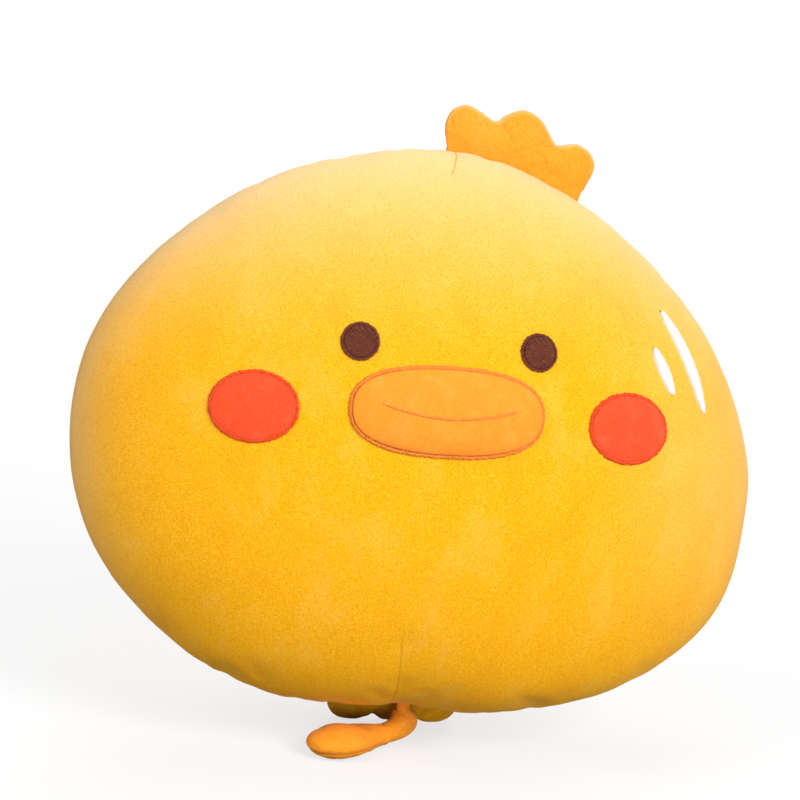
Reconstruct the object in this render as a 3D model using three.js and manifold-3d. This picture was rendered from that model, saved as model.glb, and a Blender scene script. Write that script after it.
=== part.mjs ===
// Stuffed chick cushion: an oval plush body of two panels round a filling, with a comb, a tail, a leg, a foot
// and a sewn-on face.
// Millimetres, +Z up, face towards -Y. The toy leans back on its leg and its tail.
// The origin is on the floor, under the middle of the toy's box.
import * as THREE from "three";
import { mergeVertices } from "three/addons/utils/BufferGeometryUtils.js";
import Module from "manifold-3d";

const wasm = await Module();
wasm.setup();

// Fits
const GAP = 0.3; // between pieces that touch
const PATCH_GAP = 0.6; // under the patches, whose flat facets lie on a curved panel
const COMB_GAP = 0.8; // under the comb, which rocks on its seam
const FILLING_GAP = 0.6; // between a limb's cloth and its filling
const FLOOR_CUT = 0.5; // depth of the flats on what stands on the floor

// Body
const BODY_WIDTH = 381;
const BODY_HEIGHT = 316;
const BODY_DEPTH = 165;
const RIGHT_FULLNESS = 0.039; // share by which the outline's right half is wider at the bottom
const LEFT_FULLNESS = 0.175; // the left half, where the filling has settled
const CROWN_POWER = 2.2; // how far a panel stays full before it falls to the seam
const CROWN_EDGE = 0.52; // how steeply it meets the seam
const PLUSH = 1.6; // panel thickness
const LEAN_BACK = 14; // degrees
const BODY_CLEARANCE = 17.5; // floor to the lowest point of the body

// Comb, on the seam to the left of the top
const COMB_WIDTH = 88;
const COMB_RISE = 33.8;
const COMB_THICKNESS = 14;
const COMB_SEAM_THICKNESS = 3; // where it is drawn in along its seam
const COMB_DRAWN_IN = 14; // height over which it swells from the seam
const COMB_OFFSET = 53; // its middle, to the left of the body's middle
const COMB_CLOTH = 0.9;
const COMB_FILLING_START = 8; // the filling stays this far out of the seam
// Shares of the comb's width and rise, anticlockwise from the lower right: three lobes over a rounded base.
const COMB_OUTLINE = [
  [0.43, -0.45], [0.465, 0.1], [0.5, 0.45], [0.452, 0.68], [0.345, 0.74], [0.225, 0.62],
  [0.16, 0.78], [0.08, 0.95], [-0.03, 1.0], [-0.13, 0.86], [-0.195, 0.66], [-0.31, 0.72],
  [-0.43, 0.76], [-0.5, 0.52], [-0.475, 0.24], [-0.42, 0.0], [-0.41, -0.3], [0, -0.3],
];

// Tail, a fan of three lobes on the back panel
const TAIL_WIDTH = 76;
const TAIL_LENGTH = 66; // from the floor to its end inside the seam allowance
const TAIL_THICKNESS = 15;
const TAIL_CLOTH = 1.2;
const TAIL_BACK = 17; // its lobes' place behind the middle of the body
const TAIL_SIDE = 7.3; // to the left of the middle
const TAIL_SLOPE = 16; // degrees from upright
// Shares of the tail's width and length, from the middle lobe's tip up one side; the other side mirrors it.
const TAIL_OUTLINE = [
  [0.1, 0.03], [0.155, 0.08], [0.2, 0.04], [0.325, 0], [0.45, 0.05], [0.5, 0.17],
  [0.46, 0.36], [0.38, 0.62], [0.33, 0.9],
];

// Leg and foot
const LEG_SIDE = 7; // the leg's root, to the left of the body's middle
const LEG_AHEAD = 25; // and ahead of it
const LEG_RADIUS = 5.8;
const LEG_BOW = 3.5; // how far it bows away from the foot before it bends
const LEG_REACH = 13; // root to ankle, along the floor
const LEG_HEADING = 62; // degrees to the right of straight ahead
const LEG_CLOTH = 1.2;
const FOOT_LENGTH = 52; // from the ankle
const FOOT_WIDTH = 30;
const FOOT_THICKNESS = 17;
const FOOT_FULLEST = 0.6; // share of its length at which it is widest
const FOOT_NECK = 6.3; // radius beside the ankle
const FOOT_SOCKET = 55; // half angle of the hollow that holds the ankle, degrees

// Face, in places on the front panel measured from the body's middle
const PATCH_CLOTH = 1.2;
const STITCH_HEIGHT = 2; // of satin-stitched borders above the panel
const EYE_SPACING = 98;
const EYE_HEIGHT = 50;
const EYE_RADIUS = 8.6;
const EYE_BORDER = 1.9;
const CHEEK_SPACING = 206;
const CHEEK_HEIGHT = 12;
const CHEEK_WIDTH = 50;
const CHEEK_TALL = 40;
const CHEEK_BORDER = 3;
const BILL_HEIGHT = 15;
const BILL_WIDTH = 108;
const BILL_TALL = 50;
const BILL_ROUND = 2.5; // 2 is an ellipse, more is squarer
const BILL_PUFF = 7; // padding at the bill's middle
const BILL_BORDER = 3;
const MOUTH_WIDTH = 72;
const MOUTH_DROP = 6; // sag of the mouth line
const MOUTH_THREAD = 0.8; // radius
const SHINE_HEIGHT = 52;
const SHINE_FROM_EDGE = 50; // its middle, in from the body's widest
const SHINE_LENGTH = 62;
const SHINE_WIDTH = 11;
const SHINE_STEP = 22; // from the long stroke to the short one
const SHINE_SHORT = 0.45; // the short stroke's share of the long one
const SHINE_CURVE = 95; // radius of the strokes
const SHINE_TILT = 20; // degrees from level to the middle of the long stroke, seen from the curve's centre

// Closing stitches across the bottom seam
const CLOSING_FROM = -62; // angle round the outline, degrees
const CLOSING_TO = -46;
const CLOSING_STITCHES = 12;
const CLOSING_BITE = 2.6; // each side of the seam
const THREAD_RADIUS = 0.5;

// Counts
const BODY_SIDES = 40;
const BODY_RINGS = 8;
const PAD_SIDES = 32;
const PAD_SHARES = [0.4, 0.7, 0.9, 0.975, 1]; // of the way from a pad's middle to its edge
const LIMB_SIDES = 10;

const radians = THREE.MathUtils.degToRad;
const vec = (x, y, z) => new THREE.Vector3(x, y, z);

function cloth(color, roughness) {
  return new THREE.MeshStandardMaterial({ color, roughness, metalness: 0 });
}

const YELLOW_PLUSH = cloth("#ffc22e", 0.95);
const ORANGE_PLUSH = cloth("#ffa63a", 0.95);
const BROWN_FELT = cloth("#5a2819", 0.9);
const BROWN_THREAD = cloth("#7d4638", 0.6);
const RED_FELT = cloth("#fb5631", 0.9);
const RED_THREAD = cloth("#e2451f", 0.6);
const ORANGE_FELT = cloth("#ff9d36", 0.9);
const ORANGE_THREAD = cloth("#f08a28", 0.6);
const WHITE_THREAD = cloth("#f7f3f0", 0.55);
const YELLOW_THREAD = cloth("#f0b42c", 0.6);
const FIBRE = cloth("#f4f1ea", 1);

// A closed surface through rings of points. A ring of one point is a pole, and a looped skin has no ends.
function skin(rings, looped = false) {
  const positions = rings.flat().flatMap((p) => [p.x, p.y, p.z]);
  const starts = [0];
  rings.forEach((ring, k) => starts.push(starts[k] + ring.length));
  const triangles = [];
  const spans = looped ? rings.length : rings.length - 1;
  for (let k = 0; k < spans; k++) {
    const next = (k + 1) % rings.length;
    const sides = Math.max(rings[k].length, rings[next].length);
    const at = (ring, i) => starts[ring] + (i % rings[ring].length);
    for (let i = 0; i < sides; i++) {
      if (rings[k].length > 1) triangles.push(at(k, i), at(k, i + 1), at(next, i + 1));
      if (rings[next].length > 1) triangles.push(at(k, i), at(next, i + 1), at(next, i));
    }
  }
  const geometry = new THREE.BufferGeometry();
  geometry.setAttribute("position", new THREE.Float32BufferAttribute(positions, 3));
  geometry.setIndex(signedVolume(positions, triangles) < 0 ? triangles.reverse() : triangles);
  return geometry;
}

function signedVolume(positions, triangles) {
  const corner = (i) => new THREE.Vector3().fromArray(positions, 3 * i);
  let total = 0;
  for (let i = 0; i < triangles.length; i += 3) {
    const side = corner(triangles[i + 1]).cross(corner(triangles[i + 2]));
    total += corner(triangles[i]).dot(side);
  }
  return total / 6;
}

function toSolid(geometry) {
  const bare = geometry.clone();
  bare.deleteAttribute("normal");
  bare.deleteAttribute("uv");
  const merged = mergeVertices(bare);
  return new wasm.Manifold(
    new wasm.Mesh({
      numProp: 3,
      vertProperties: merged.attributes.position.array,
      triVerts: new Uint32Array(merged.index.array),
    }),
  );
}

function fromSolid(solid) {
  const found = solid.getMesh();
  const geometry = new THREE.BufferGeometry();
  geometry.setAttribute("position", new THREE.BufferAttribute(found.vertProperties, 3));
  geometry.setIndex(new THREE.BufferAttribute(found.triVerts, 1));
  return geometry;
}

function cut(geometry, ...cutters) {
  return fromSolid(cutters.reduce((solid, cutter) => solid.subtract(toSolid(cutter)), toSolid(geometry)));
}

function named(name, geometry, material) {
  geometry.computeVertexNormals();
  const mesh = new THREE.Mesh(geometry, material);
  mesh.name = name;
  return mesh;
}

function smooth(share) {
  const t = THREE.MathUtils.clamp(share, 0, 1);
  return t * t * (3 - 2 * t);
}

// Share of the outline's width that is left at a height on one side of the body. The toy's left is +X.
function widthAt(side, high) {
  return 1 - (side > 0 ? LEFT_FULLNESS : RIGHT_FULLNESS) * high;
}

// Height of a stuffed panel over its seam plane, from 1 in the middle to 0 at the outline.
function crown(share) {
  return Math.max(0, 1 - Math.min(1, share) ** CROWN_POWER) ** CROWN_EDGE;
}

// A point of the body, by angle round the outline and share of the way out to it. side is -1 in front.
function bodyPoint(angle, share, inset, side) {
  const z = share * Math.sin(angle);
  const x = widthAt(Math.cos(angle), z) * share * Math.cos(angle);
  const y = side * ((BODY_DEPTH / 2 - inset) * crown(share) + GAP / 2);
  return vec((BODY_WIDTH / 2 - inset) * x, y, (BODY_HEIGHT / 2 - inset) * z);
}

// Rings of half a body, from the middle of the panel out to the seam.
function halfBody(inset, side) {
  const rings = [[bodyPoint(0, 0, inset, side)]];
  for (let k = 1; k <= BODY_RINGS; k++) {
    const share = Math.sin((k / BODY_RINGS) * (Math.PI / 2));
    const corner = (_, i) => bodyPoint((2 * Math.PI * i) / BODY_SIDES, share, inset, side);
    rings.push(Array.from({ length: BODY_SIDES }, corner));
  }
  return rings;
}

function bodyPanel(side) {
  return skin([...halfBody(0, side), ...halfBody(PLUSH, side).reverse()]);
}

function wholeBody(inset) {
  return skin([...halfBody(inset, -1), ...halfBody(inset, 1).reverse()]);
}

// The front panel's outside at (x, z) from its middle, lifted off it by so much.
function onFront(x, z, lift = 0) {
  const surface = (px, pz) => {
    const high = pz / (BODY_HEIGHT / 2);
    const wide = px / ((BODY_WIDTH / 2) * widthAt(px, high));
    return vec(px, -(BODY_DEPTH / 2) * crown(Math.hypot(wide, high)) - GAP / 2, pz);
  };
  const step = 0.5;
  const across = surface(x + step, z).sub(surface(x - step, z)).normalize();
  const up = surface(x, z + step).sub(surface(x, z - step)).normalize();
  const out = across.clone().cross(up).normalize();
  return { point: surface(x, z).addScaledVector(out, lift), across, up, out };
}

// Places on the front panel round a centre, as sewn flat there: u to the right, v upwards.
function sewnAt(x, z) {
  const { point, across, out } = onFront(x, z);
  const up = out.clone().cross(across).normalize();
  return (u, v, lift) => {
    const p = point.clone().addScaledVector(across, u).addScaledVector(up, v);
    return onFront(p.x, p.z, lift).point;
  };
}

const oval = (halfWidth, halfTall, power = 2) => (angle) => {
  const c = Math.abs(Math.cos(angle) / halfWidth) ** power;
  const s = Math.abs(Math.sin(angle) / halfTall) ** power;
  return (c + s) ** (-1 / power);
};

// Rings of a patch from its middle out to its edge, at the lift that a share of the way out has.
function patchRings(place, radius, sides, shares, liftAt) {
  const rings = [[place(0, 0, liftAt(0))]];
  for (const share of shares) {
    rings.push(
      Array.from({ length: sides }, (_, i) => {
        const angle = (2 * Math.PI * i) / sides;
        const reach = radius(angle) * share;
        return place(reach * Math.cos(angle), reach * Math.sin(angle), liftAt(share));
      }),
    );
  }
  return rings;
}

function patch(place, radius, sides, shares, topAt, bottomAt) {
  const top = patchRings(place, radius, sides, shares, topAt);
  const bottom = patchRings(place, radius, sides, shares, bottomAt);
  return skin([...top, ...bottom.reverse()]);
}

// A border of satin stitches round a patch: a low rounded band.
function border(place, radius, sides, width, height) {
  const sections = [];
  for (let i = 0; i < sides; i++) {
    const angle = (2 * Math.PI * i) / sides;
    const inner = radius(angle) + GAP;
    const at = (out, lift) =>
      place((inner + out) * Math.cos(angle), (inner + out) * Math.sin(angle), lift);
    sections.push([
      at(0, PATCH_GAP), at(width, PATCH_GAP), at(width, PATCH_GAP + 0.4 * height),
      at(0.6 * width, PATCH_GAP + height), at(0, PATCH_GAP + 0.7 * height),
    ]);
  }
  return skin(sections, true);
}

// A thread along points that carry the outward direction of what they lie on.
function thread(places, radius, sides = 6) {
  const rings = places.map(({ point, out }, i) => {
    const before = places[Math.max(0, i - 1)].point;
    const after = places[Math.min(places.length - 1, i + 1)].point;
    const across = after.clone().sub(before).cross(out).normalize();
    return Array.from({ length: sides }, (_, k) => {
      const angle = (2 * Math.PI * k) / sides;
      return point.clone()
        .addScaledVector(across, radius * Math.cos(angle))
        .addScaledVector(out, radius * Math.sin(angle));
    });
  });
  return skin([[places[0].point], ...rings, [places.at(-1).point]]);
}

// An anticlockwise outline moved inwards by so much.
function insetOutline(outline, inset) {
  const count = outline.length;
  return outline.map((corner, i) => {
    const along = outline[(i + 1) % count].clone().sub(outline[(i + count - 1) % count]).normalize();
    return new THREE.Vector2(corner.x - inset * along.y, corner.y + inset * along.x);
  });
}

// A flat stuffed pad: an outline in the XZ plane, crowned to both sides. Its thickness may vary over it.
function pad(outline, middle, halfThickness) {
  const half = (side) => {
    const rings = [[vec(middle.x, side * halfThickness(middle, 0), middle.y)]];
    for (const share of PAD_SHARES) {
      rings.push(
        outline.map((corner) => {
          const at = middle.clone().lerp(corner, share);
          return vec(at.x, side * halfThickness(at, share), at.y);
        }),
      );
    }
    return rings;
  };
  return skin([...half(-1), ...half(1).slice(0, -1).reverse()]);
}

function outlineOf(points, width, rise) {
  const corners = points.map(([x, z]) => vec(x * width, z * rise, 0));
  const curve = new THREE.CatmullRomCurve3(corners, true, "centripetal");
  return curve.getSpacedPoints(PAD_SIDES).slice(0, -1).map((p) => new THREE.Vector2(p.x, p.y));
}

// A limb along a path in one upright plane, with its half width and half height at a share of the path.
function limb(path, across, stations, halfWidth, halfHeight) {
  const rings = stations.map((share) => {
    const inside = THREE.MathUtils.clamp(share, 0, 1);
    const tangent = path.getTangentAt(inside);
    const centre = path.getPointAt(inside).addScaledVector(tangent, (share - inside) * path.getLength());
    const up = across.clone().cross(tangent).normalize();
    return Array.from({ length: LIMB_SIDES }, (_, k) => {
      const angle = (2 * Math.PI * k) / LIMB_SIDES;
      return centre.clone()
        .addScaledVector(across, halfWidth(share) * Math.cos(angle))
        .addScaledVector(up, halfHeight(share) * Math.sin(angle));
    });
  });
  const poles = [rings[0], rings.at(-1)].map((ring) => [
    ring.reduce((sum, p) => sum.add(p), vec(0, 0, 0)).divideScalar(ring.length),
  ]);
  return skin([poles[0], ...rings, poles[1]]);
}

// Body frame: the body's middle is its origin and the seam lies in its XZ plane. It leans back in the toy.
const lean = -radians(LEAN_BACK);
const seamPoints = halfBody(0, -1).concat(halfBody(0, 1)).flat();
const leaned = seamPoints.map((p) => p.clone().applyAxisAngle(vec(1, 0, 0), lean));
const lowest = leaned.reduce((low, p) => (p.z < low.z ? p : low));
const bodyMiddle = vec(0, 0, BODY_CLEARANCE - lowest.z);

const body = new THREE.Group();
body.position.copy(bodyMiddle);
body.rotation.x = lean;
body.updateMatrix();

body.add(
  named("body_front_panel", bodyPanel(-1), YELLOW_PLUSH),
  named("body_back_panel", bodyPanel(1), YELLOW_PLUSH),
  named("body_filling", wholeBody(PLUSH + GAP), FIBRE),
);

// Comb: its own frame sits on the seam, with X along it and Z out of the body.
const combAngle = Math.acos(COMB_OFFSET / (BODY_WIDTH / 2));
const combRoot = bodyPoint(combAngle, 1, 0, 0);
const beside = bodyPoint(combAngle - 0.01, 1, 0, 0).sub(bodyPoint(combAngle + 0.01, 1, 0, 0));
const combTurn = -Math.atan2(beside.z, beside.x);
const combOutline = outlineOf(COMB_OUTLINE, COMB_WIDTH, COMB_RISE);
const combMiddle = new THREE.Vector2(0, 0.3 * COMB_RISE);

function combPad(inset) {
  const swell = (at, share) => {
    const root = COMB_SEAM_THICKNESS / COMB_THICKNESS;
    const drawn = root + (1 - root) * smooth(at.y / COMB_DRAWN_IN);
    return ((COMB_THICKNESS / 2) * drawn - inset) * crown(share);
  };
  const geometry = pad(insetOutline(combOutline, inset), combMiddle, swell);
  geometry.rotateY(combTurn);
  geometry.translate(combRoot.x, 0, combRoot.z);
  return geometry;
}

body.add(
  named("comb_cover", cut(combPad(0), combPad(COMB_CLOTH), wholeBody(-COMB_GAP)), ORANGE_PLUSH),
  named("comb_filling", cut(combPad(COMB_CLOTH + FILLING_GAP), wholeBody(-COMB_FILLING_START)), FIBRE),
);

// Eyes and cheeks, one of each to each side
for (const [side, sign] of [["right", -1], ["left", 1]]) {
  const eye = sewnAt((sign * EYE_SPACING) / 2, EYE_HEIGHT);
  const eyeEdge = oval(EYE_RADIUS, EYE_RADIUS);
  const flatTop = () => PATCH_GAP + PATCH_CLOTH;
  const flatBottom = () => PATCH_GAP;
  body.add(
    named(`${side}_eye_patch`, patch(eye, eyeEdge, 20, [1], flatTop, flatBottom), BROWN_FELT),
    named(`${side}_eye_stitching`, border(eye, eyeEdge, 20, EYE_BORDER, STITCH_HEIGHT), BROWN_THREAD),
  );
  const cheek = sewnAt((sign * CHEEK_SPACING) / 2, CHEEK_HEIGHT);
  const cheekEdge = oval(CHEEK_WIDTH / 2 - CHEEK_BORDER, CHEEK_TALL / 2 - CHEEK_BORDER);
  body.add(
    named(`${side}_cheek_patch`, patch(cheek, cheekEdge, 28, [0.55, 1], flatTop, flatBottom), RED_FELT),
    named(`${side}_cheek_stitching`, border(cheek, cheekEdge, 28, CHEEK_BORDER, STITCH_HEIGHT), RED_THREAD),
  );
}

// Bill: a cover over a thin padding, a stitched border, and a mouth line stitched across it
const bill = sewnAt(0, BILL_HEIGHT);
const billEdge = oval(BILL_WIDTH / 2 - BILL_BORDER, BILL_TALL / 2 - BILL_BORDER, BILL_ROUND);
const billTop = (share) => PATCH_GAP + PATCH_CLOTH + BILL_PUFF * crown(share);
const paddingTop = (share) => billTop(share) - PATCH_CLOTH - GAP;
body.add(
  named(
    "bill_cover",
    patch(bill, billEdge, 36, [0.3, 0.6, 0.85, 1], billTop, (share) => billTop(share) - PATCH_CLOTH),
    ORANGE_FELT,
  ),
  named("bill_padding", patch(bill, billEdge, 36, [0.3, 0.6, 0.85], paddingTop, () => PATCH_GAP), FIBRE),
  named("bill_stitching", border(bill, billEdge, 36, BILL_BORDER, STITCH_HEIGHT), ORANGE_THREAD),
);

const mouthPlaces = Array.from({ length: 15 }, (_, i) => {
  const along = (2 * i) / 14 - 1;
  const u = (along * MOUTH_WIDTH) / 2;
  const v = MOUTH_DROP * (along * along - 0.6);
  const share = Math.hypot(u, v) / billEdge(Math.atan2(v, u));
  const lift = billTop(share) + MOUTH_THREAD + GAP;
  const point = bill(u, v, lift);
  return { point, out: bill(u, v, lift + 1).sub(point).normalize() };
});
body.add(named("mouth_stitching", thread(mouthPlaces, MOUTH_THREAD), ORANGE_THREAD));

// Highlight: two curved strokes of white satin stitch, the short one inside the long one
function shineStroke(step, scale) {
  const place = sewnAt(BODY_WIDTH / 2 - SHINE_FROM_EDGE, SHINE_HEIGHT);
  const stations = 12;
  const tilt = radians(SHINE_TILT);
  const radius = SHINE_CURVE - step;
  const span = (scale * SHINE_LENGTH) / radius;
  const rings = [];
  for (let i = 0; i <= stations; i++) {
    const along = Math.cos((Math.PI * i) / stations);
    const angle = tilt + (along * span) / 2;
    const at = (out, lift) => {
      const u = (radius + out) * Math.cos(angle) - SHINE_CURVE * Math.cos(tilt);
      const v = (radius + out) * Math.sin(angle) - SHINE_CURVE * Math.sin(tilt);
      return place(u, v, lift);
    };
    const half = (SHINE_WIDTH / 2) * Math.sqrt(Math.max(0, 1 - along * along));
    const edge = PATCH_GAP + 0.4 * STITCH_HEIGHT;
    const middle = at(0, PATCH_GAP + STITCH_HEIGHT * (half > 0.01 ? 1 : 0.5));
    const ends = [middle];
    const section = [at(-half, PATCH_GAP), at(half, PATCH_GAP), at(half, edge), middle, at(-half, edge)];
    rings.push(half > 0.01 ? section : ends);
  }
  return skin(rings);
}
body.add(
  named("shine_long", shineStroke(0, 1), WHITE_THREAD),
  named("shine_short", shineStroke(SHINE_STEP, SHINE_SHORT), WHITE_THREAD),
);

// Closing stitches: one thread that crosses the bottom seam to and fro
const closingPlaces = Array.from({ length: 2 * CLOSING_STITCHES + 1 }, (_, i) => {
  const angle = radians(THREE.MathUtils.lerp(CLOSING_FROM, CLOSING_TO, i / (2 * CLOSING_STITCHES)));
  const seam = bodyPoint(angle, 1, 0, 0);
  const out = vec(seam.x / BODY_WIDTH ** 2, 0, seam.z / BODY_HEIGHT ** 2).normalize();
  const sideways = [0, 1, 0, -1][i % 4] * CLOSING_BITE;
  return { point: seam.addScaledVector(out, THREAD_RADIUS + PATCH_GAP).add(vec(0, sideways, 0)), out };
});
body.add(named("closing_thread", thread(closingPlaces, THREAD_RADIUS, 5), YELLOW_THREAD));

const toy = new THREE.Group();
toy.add(body);

// Everything below the body is cut by the body and by the floor.
function placedBody(inset) {
  return wholeBody(inset).applyMatrix4(body.matrix);
}
const underFloor = new THREE.BoxGeometry(2 * BODY_WIDTH, 2 * BODY_WIDTH, BODY_HEIGHT);
underFloor.translate(0, 0, -BODY_HEIGHT / 2);
const overLeg = new THREE.BoxGeometry(2 * BODY_WIDTH, 2 * BODY_WIDTH, BODY_HEIGHT);
overLeg.translate(0, 0, BODY_CLEARANCE - GAP + BODY_HEIGHT / 2);

// Tail: a fan that stands on its lobes behind the middle of the body
const tailOutline = outlineOf(
  [[0, 0], ...TAIL_OUTLINE, ...TAIL_OUTLINE.map(([x, z]) => [-x, z]).reverse()],
  TAIL_WIDTH,
  TAIL_LENGTH,
);
const tailMiddle = new THREE.Vector2(0, 0.35 * TAIL_LENGTH);

function tailPad(inset) {
  const swell = (at, share) => (TAIL_THICKNESS / 2 - inset) * crown(share);
  const geometry = pad(insetOutline(tailOutline, inset), tailMiddle, swell);
  geometry.rotateX(radians(TAIL_SLOPE));
  geometry.translate(TAIL_SIDE, TAIL_BACK, -FLOOR_CUT);
  return geometry;
}

toy.add(
  named("tail_cover", cut(tailPad(0), tailPad(TAIL_CLOTH), placedBody(-GAP), underFloor), YELLOW_PLUSH),
  named("tail_filling", cut(tailPad(TAIL_CLOTH + FILLING_GAP), placedBody(-GAP - TAIL_CLOTH)), FIBRE),
);

// Leg: down from the body, bowed away from the foot, round a bend and along the floor to the ankle
const heading = vec(-Math.sin(radians(LEG_HEADING)), -Math.cos(radians(LEG_HEADING)), 0);
const acrossLeg = heading.clone().cross(vec(0, 0, 1));
const legRoot = vec(LEG_SIDE, -LEG_AHEAD, 0);
const lieHeight = LEG_RADIUS - FLOOR_CUT;
const onLeg = (ahead, height) => legRoot.clone().addScaledVector(heading, ahead).setZ(height);
const legTop = BODY_CLEARANCE - GAP;
const ankle = onLeg(LEG_REACH, lieHeight);
const legPath = new THREE.CatmullRomCurve3([
  onLeg(0, legTop),
  onLeg(-LEG_BOW, lieHeight + 1.1 * LEG_RADIUS),
  onLeg(0.2 * LEG_REACH - LEG_BOW, lieHeight + 0.2 * LEG_RADIUS),
  onLeg(0.6 * LEG_REACH, lieHeight),
  ankle,
]);

function legTube(inset, start) {
  const radius = LEG_RADIUS - inset;
  const length = legPath.getLength();
  const along = [start / length, 0.15, 0.3, 0.42, 0.54, 0.66, 0.78, 0.9, 1];
  const round = [25, 50, 70, 85].map((a) => 1 + (radius * Math.sin(radians(a))) / length);
  const size = (share) => (share <= 1 ? radius : Math.sqrt(radius ** 2 - ((share - 1) * length) ** 2));
  return limb(legPath, acrossLeg, [...along, ...round], size, size);
}

// Foot: a flat stuffed pad from the ankle, hollowed there for the leg's round end
const footStart = LEG_RADIUS * Math.cos(radians(FOOT_SOCKET));
const footEnd = ankle.clone().addScaledVector(heading, FOOT_LENGTH);

function footPad(inset, startEarlier) {
  const path = new THREE.LineCurve3(ankle.clone().addScaledVector(heading, footStart), footEnd);
  const swell = (share, neck, full) => {
    const t = Math.max(0, share);
    const beyond = (t - FOOT_FULLEST) / (1 - FOOT_FULLEST);
    if (t < FOOT_FULLEST) return neck + (full - neck) * smooth(t / FOOT_FULLEST);
    return full * Math.sqrt(1 - beyond ** 2);
  };
  const tip = 1 - inset / FOOT_LENGTH;
  const along = [-startEarlier / FOOT_LENGTH, 0.15, 0.3, 0.45, 0.6, 0.73, 0.84, 0.92, 0.97];
  const shares = along.map((t) => t * tip);
  const widthAt = (share) => swell(share / tip, FOOT_NECK, FOOT_WIDTH / 2) - inset;
  const heightAt = (share) => swell(share / tip, FOOT_NECK, FOOT_THICKNESS / 2) - inset;
  const atLeast = (size) => (t) => Math.max(0.5, size(t));
  const geometry = limb(path, acrossLeg, shares, atLeast(widthAt), atLeast(heightAt));
  return layOnFloor(geometry, path, heightAt, inset);
}

// Raises each part of the foot so that its sole lies in one plane, just under the floor before it is cut flat.
function layOnFloor(geometry, path, heightAt, inset) {
  const position = geometry.attributes.position;
  const start = path.getPointAt(0);
  for (let i = 0; i < position.count; i++) {
    const p = new THREE.Vector3().fromBufferAttribute(position, i);
    const share = p.clone().sub(start).dot(heading) / path.getLength();
    const rise = Math.max(0.5, heightAt(Math.min(0.97, share))) + inset - FLOOR_CUT - lieHeight;
    position.setZ(i, p.z + rise);
  }
  return geometry;
}

const ankleHollow = new THREE.SphereGeometry(LEG_RADIUS + GAP, 24, 16);
ankleHollow.translate(ankle.x, ankle.y, ankle.z);

toy.add(
  named("leg_cover", cut(legTube(0, 0), legTube(LEG_CLOTH, -1), overLeg, underFloor), ORANGE_PLUSH),
  named("leg_filling", cut(legTube(LEG_CLOTH + FILLING_GAP, 0), overLeg), FIBRE),
  named("foot_cover", cut(footPad(0, 0), footPad(LEG_CLOTH, 3), ankleHollow, underFloor), ORANGE_PLUSH),
  named("foot_filling", cut(footPad(LEG_CLOTH + FILLING_GAP, 0), ankleHollow), FIBRE),
);

// The toy's box is centred over the origin and stands on the floor.
toy.updateMatrixWorld(true);
const box = new THREE.Box3().setFromObject(toy, true);
const boxMiddle = box.getCenter(vec(0, 0, 0));
toy.position.set(-boxMiddle.x, -boxMiddle.y, -box.min.z);

export default toy;
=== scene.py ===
"""Stuffed chick cushion: plush, stitches, filling and light over the fixed solids of its model."""

import logging
import math
from dataclasses import dataclass, field
from enum import Enum
from typing import Callable, NamedTuple, Optional, Sequence, Union

import bpy
import numpy as np
from mathutils import Matrix, Vector
from mathutils.bvhtree import BVHTree


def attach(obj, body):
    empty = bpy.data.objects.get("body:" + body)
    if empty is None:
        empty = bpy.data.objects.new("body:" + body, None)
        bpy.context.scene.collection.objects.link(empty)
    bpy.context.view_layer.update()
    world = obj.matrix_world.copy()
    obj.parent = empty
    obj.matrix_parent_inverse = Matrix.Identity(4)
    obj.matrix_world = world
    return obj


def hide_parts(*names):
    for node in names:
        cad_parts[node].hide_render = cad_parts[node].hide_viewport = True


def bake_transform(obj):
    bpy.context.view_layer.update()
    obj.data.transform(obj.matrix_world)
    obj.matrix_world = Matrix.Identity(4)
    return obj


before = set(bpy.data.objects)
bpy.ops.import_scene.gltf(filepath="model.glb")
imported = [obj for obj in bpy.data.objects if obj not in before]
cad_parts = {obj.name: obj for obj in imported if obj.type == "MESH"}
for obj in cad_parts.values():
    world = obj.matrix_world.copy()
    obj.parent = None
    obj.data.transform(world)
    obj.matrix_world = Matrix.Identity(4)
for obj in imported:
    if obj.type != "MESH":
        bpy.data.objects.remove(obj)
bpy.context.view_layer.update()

LOG = logging.getLogger("plush_chick")
MM = 0.001
SEED = 7
TINY = 1e-9

Colour = tuple[float, float, float, float]
Array = np.ndarray
Place = Callable[[Array, Array, Array], Array]

WHITE: Colour = (1.0, 1.0, 1.0, 1.0)


def linear(code: str) -> Colour:
    """Turns a hex colour into linear light.

    Args:
        code: A colour such as "#ffc22e".

    Returns:
        Red, green, blue and full alpha.
    """
    parts = [int(code[i : i + 2], 16) / 255 for i in (1, 3, 5)]
    red, green, blue = (p / 12.92 if p <= 0.04045 else ((p + 0.055) / 1.055) ** 2.4 for p in parts)
    return (red, green, blue, 1.0)


def smooth(share: Array) -> Array:
    """Smooth step from 0 to 1."""
    t = np.clip(share, 0.0, 1.0)
    return t * t * (3 - 2 * t)


def hump(distance: Array, width: float) -> Array:
    """A bell of height 1 whose half width is given."""
    return np.exp(-((distance / width) ** 2))


def crown(share: Array, power: float = 2.2, edge: float = 0.52) -> Array:
    """Height of a stuffed panel, from 1 in its middle to 0 at its edge."""
    return np.clip(1 - np.clip(share, 0, 1) ** power, 0, None) ** edge


def unit(vectors: Array) -> Array:
    """Vectors scaled to length 1."""
    return vectors / np.maximum(np.linalg.norm(vectors, axis=-1, keepdims=True), TINY)


def to_right(along: Array) -> Array:
    """Directions in a plane, turned a quarter to the right."""
    return np.stack([along[:, 1], -along[:, 0]], axis=1)


def outward_of(loop: Array) -> Array:
    """Outward directions at the points of a flat loop that runs anticlockwise."""
    return to_right(unit(np.roll(loop, -1, axis=0) - np.roll(loop, 1, axis=0)))


def distance_run(line: Array) -> Array:
    """Distance run along a line at each of its points."""
    return np.concatenate([[0], np.cumsum(np.linalg.norm(np.diff(line, axis=0), axis=1))])


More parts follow.
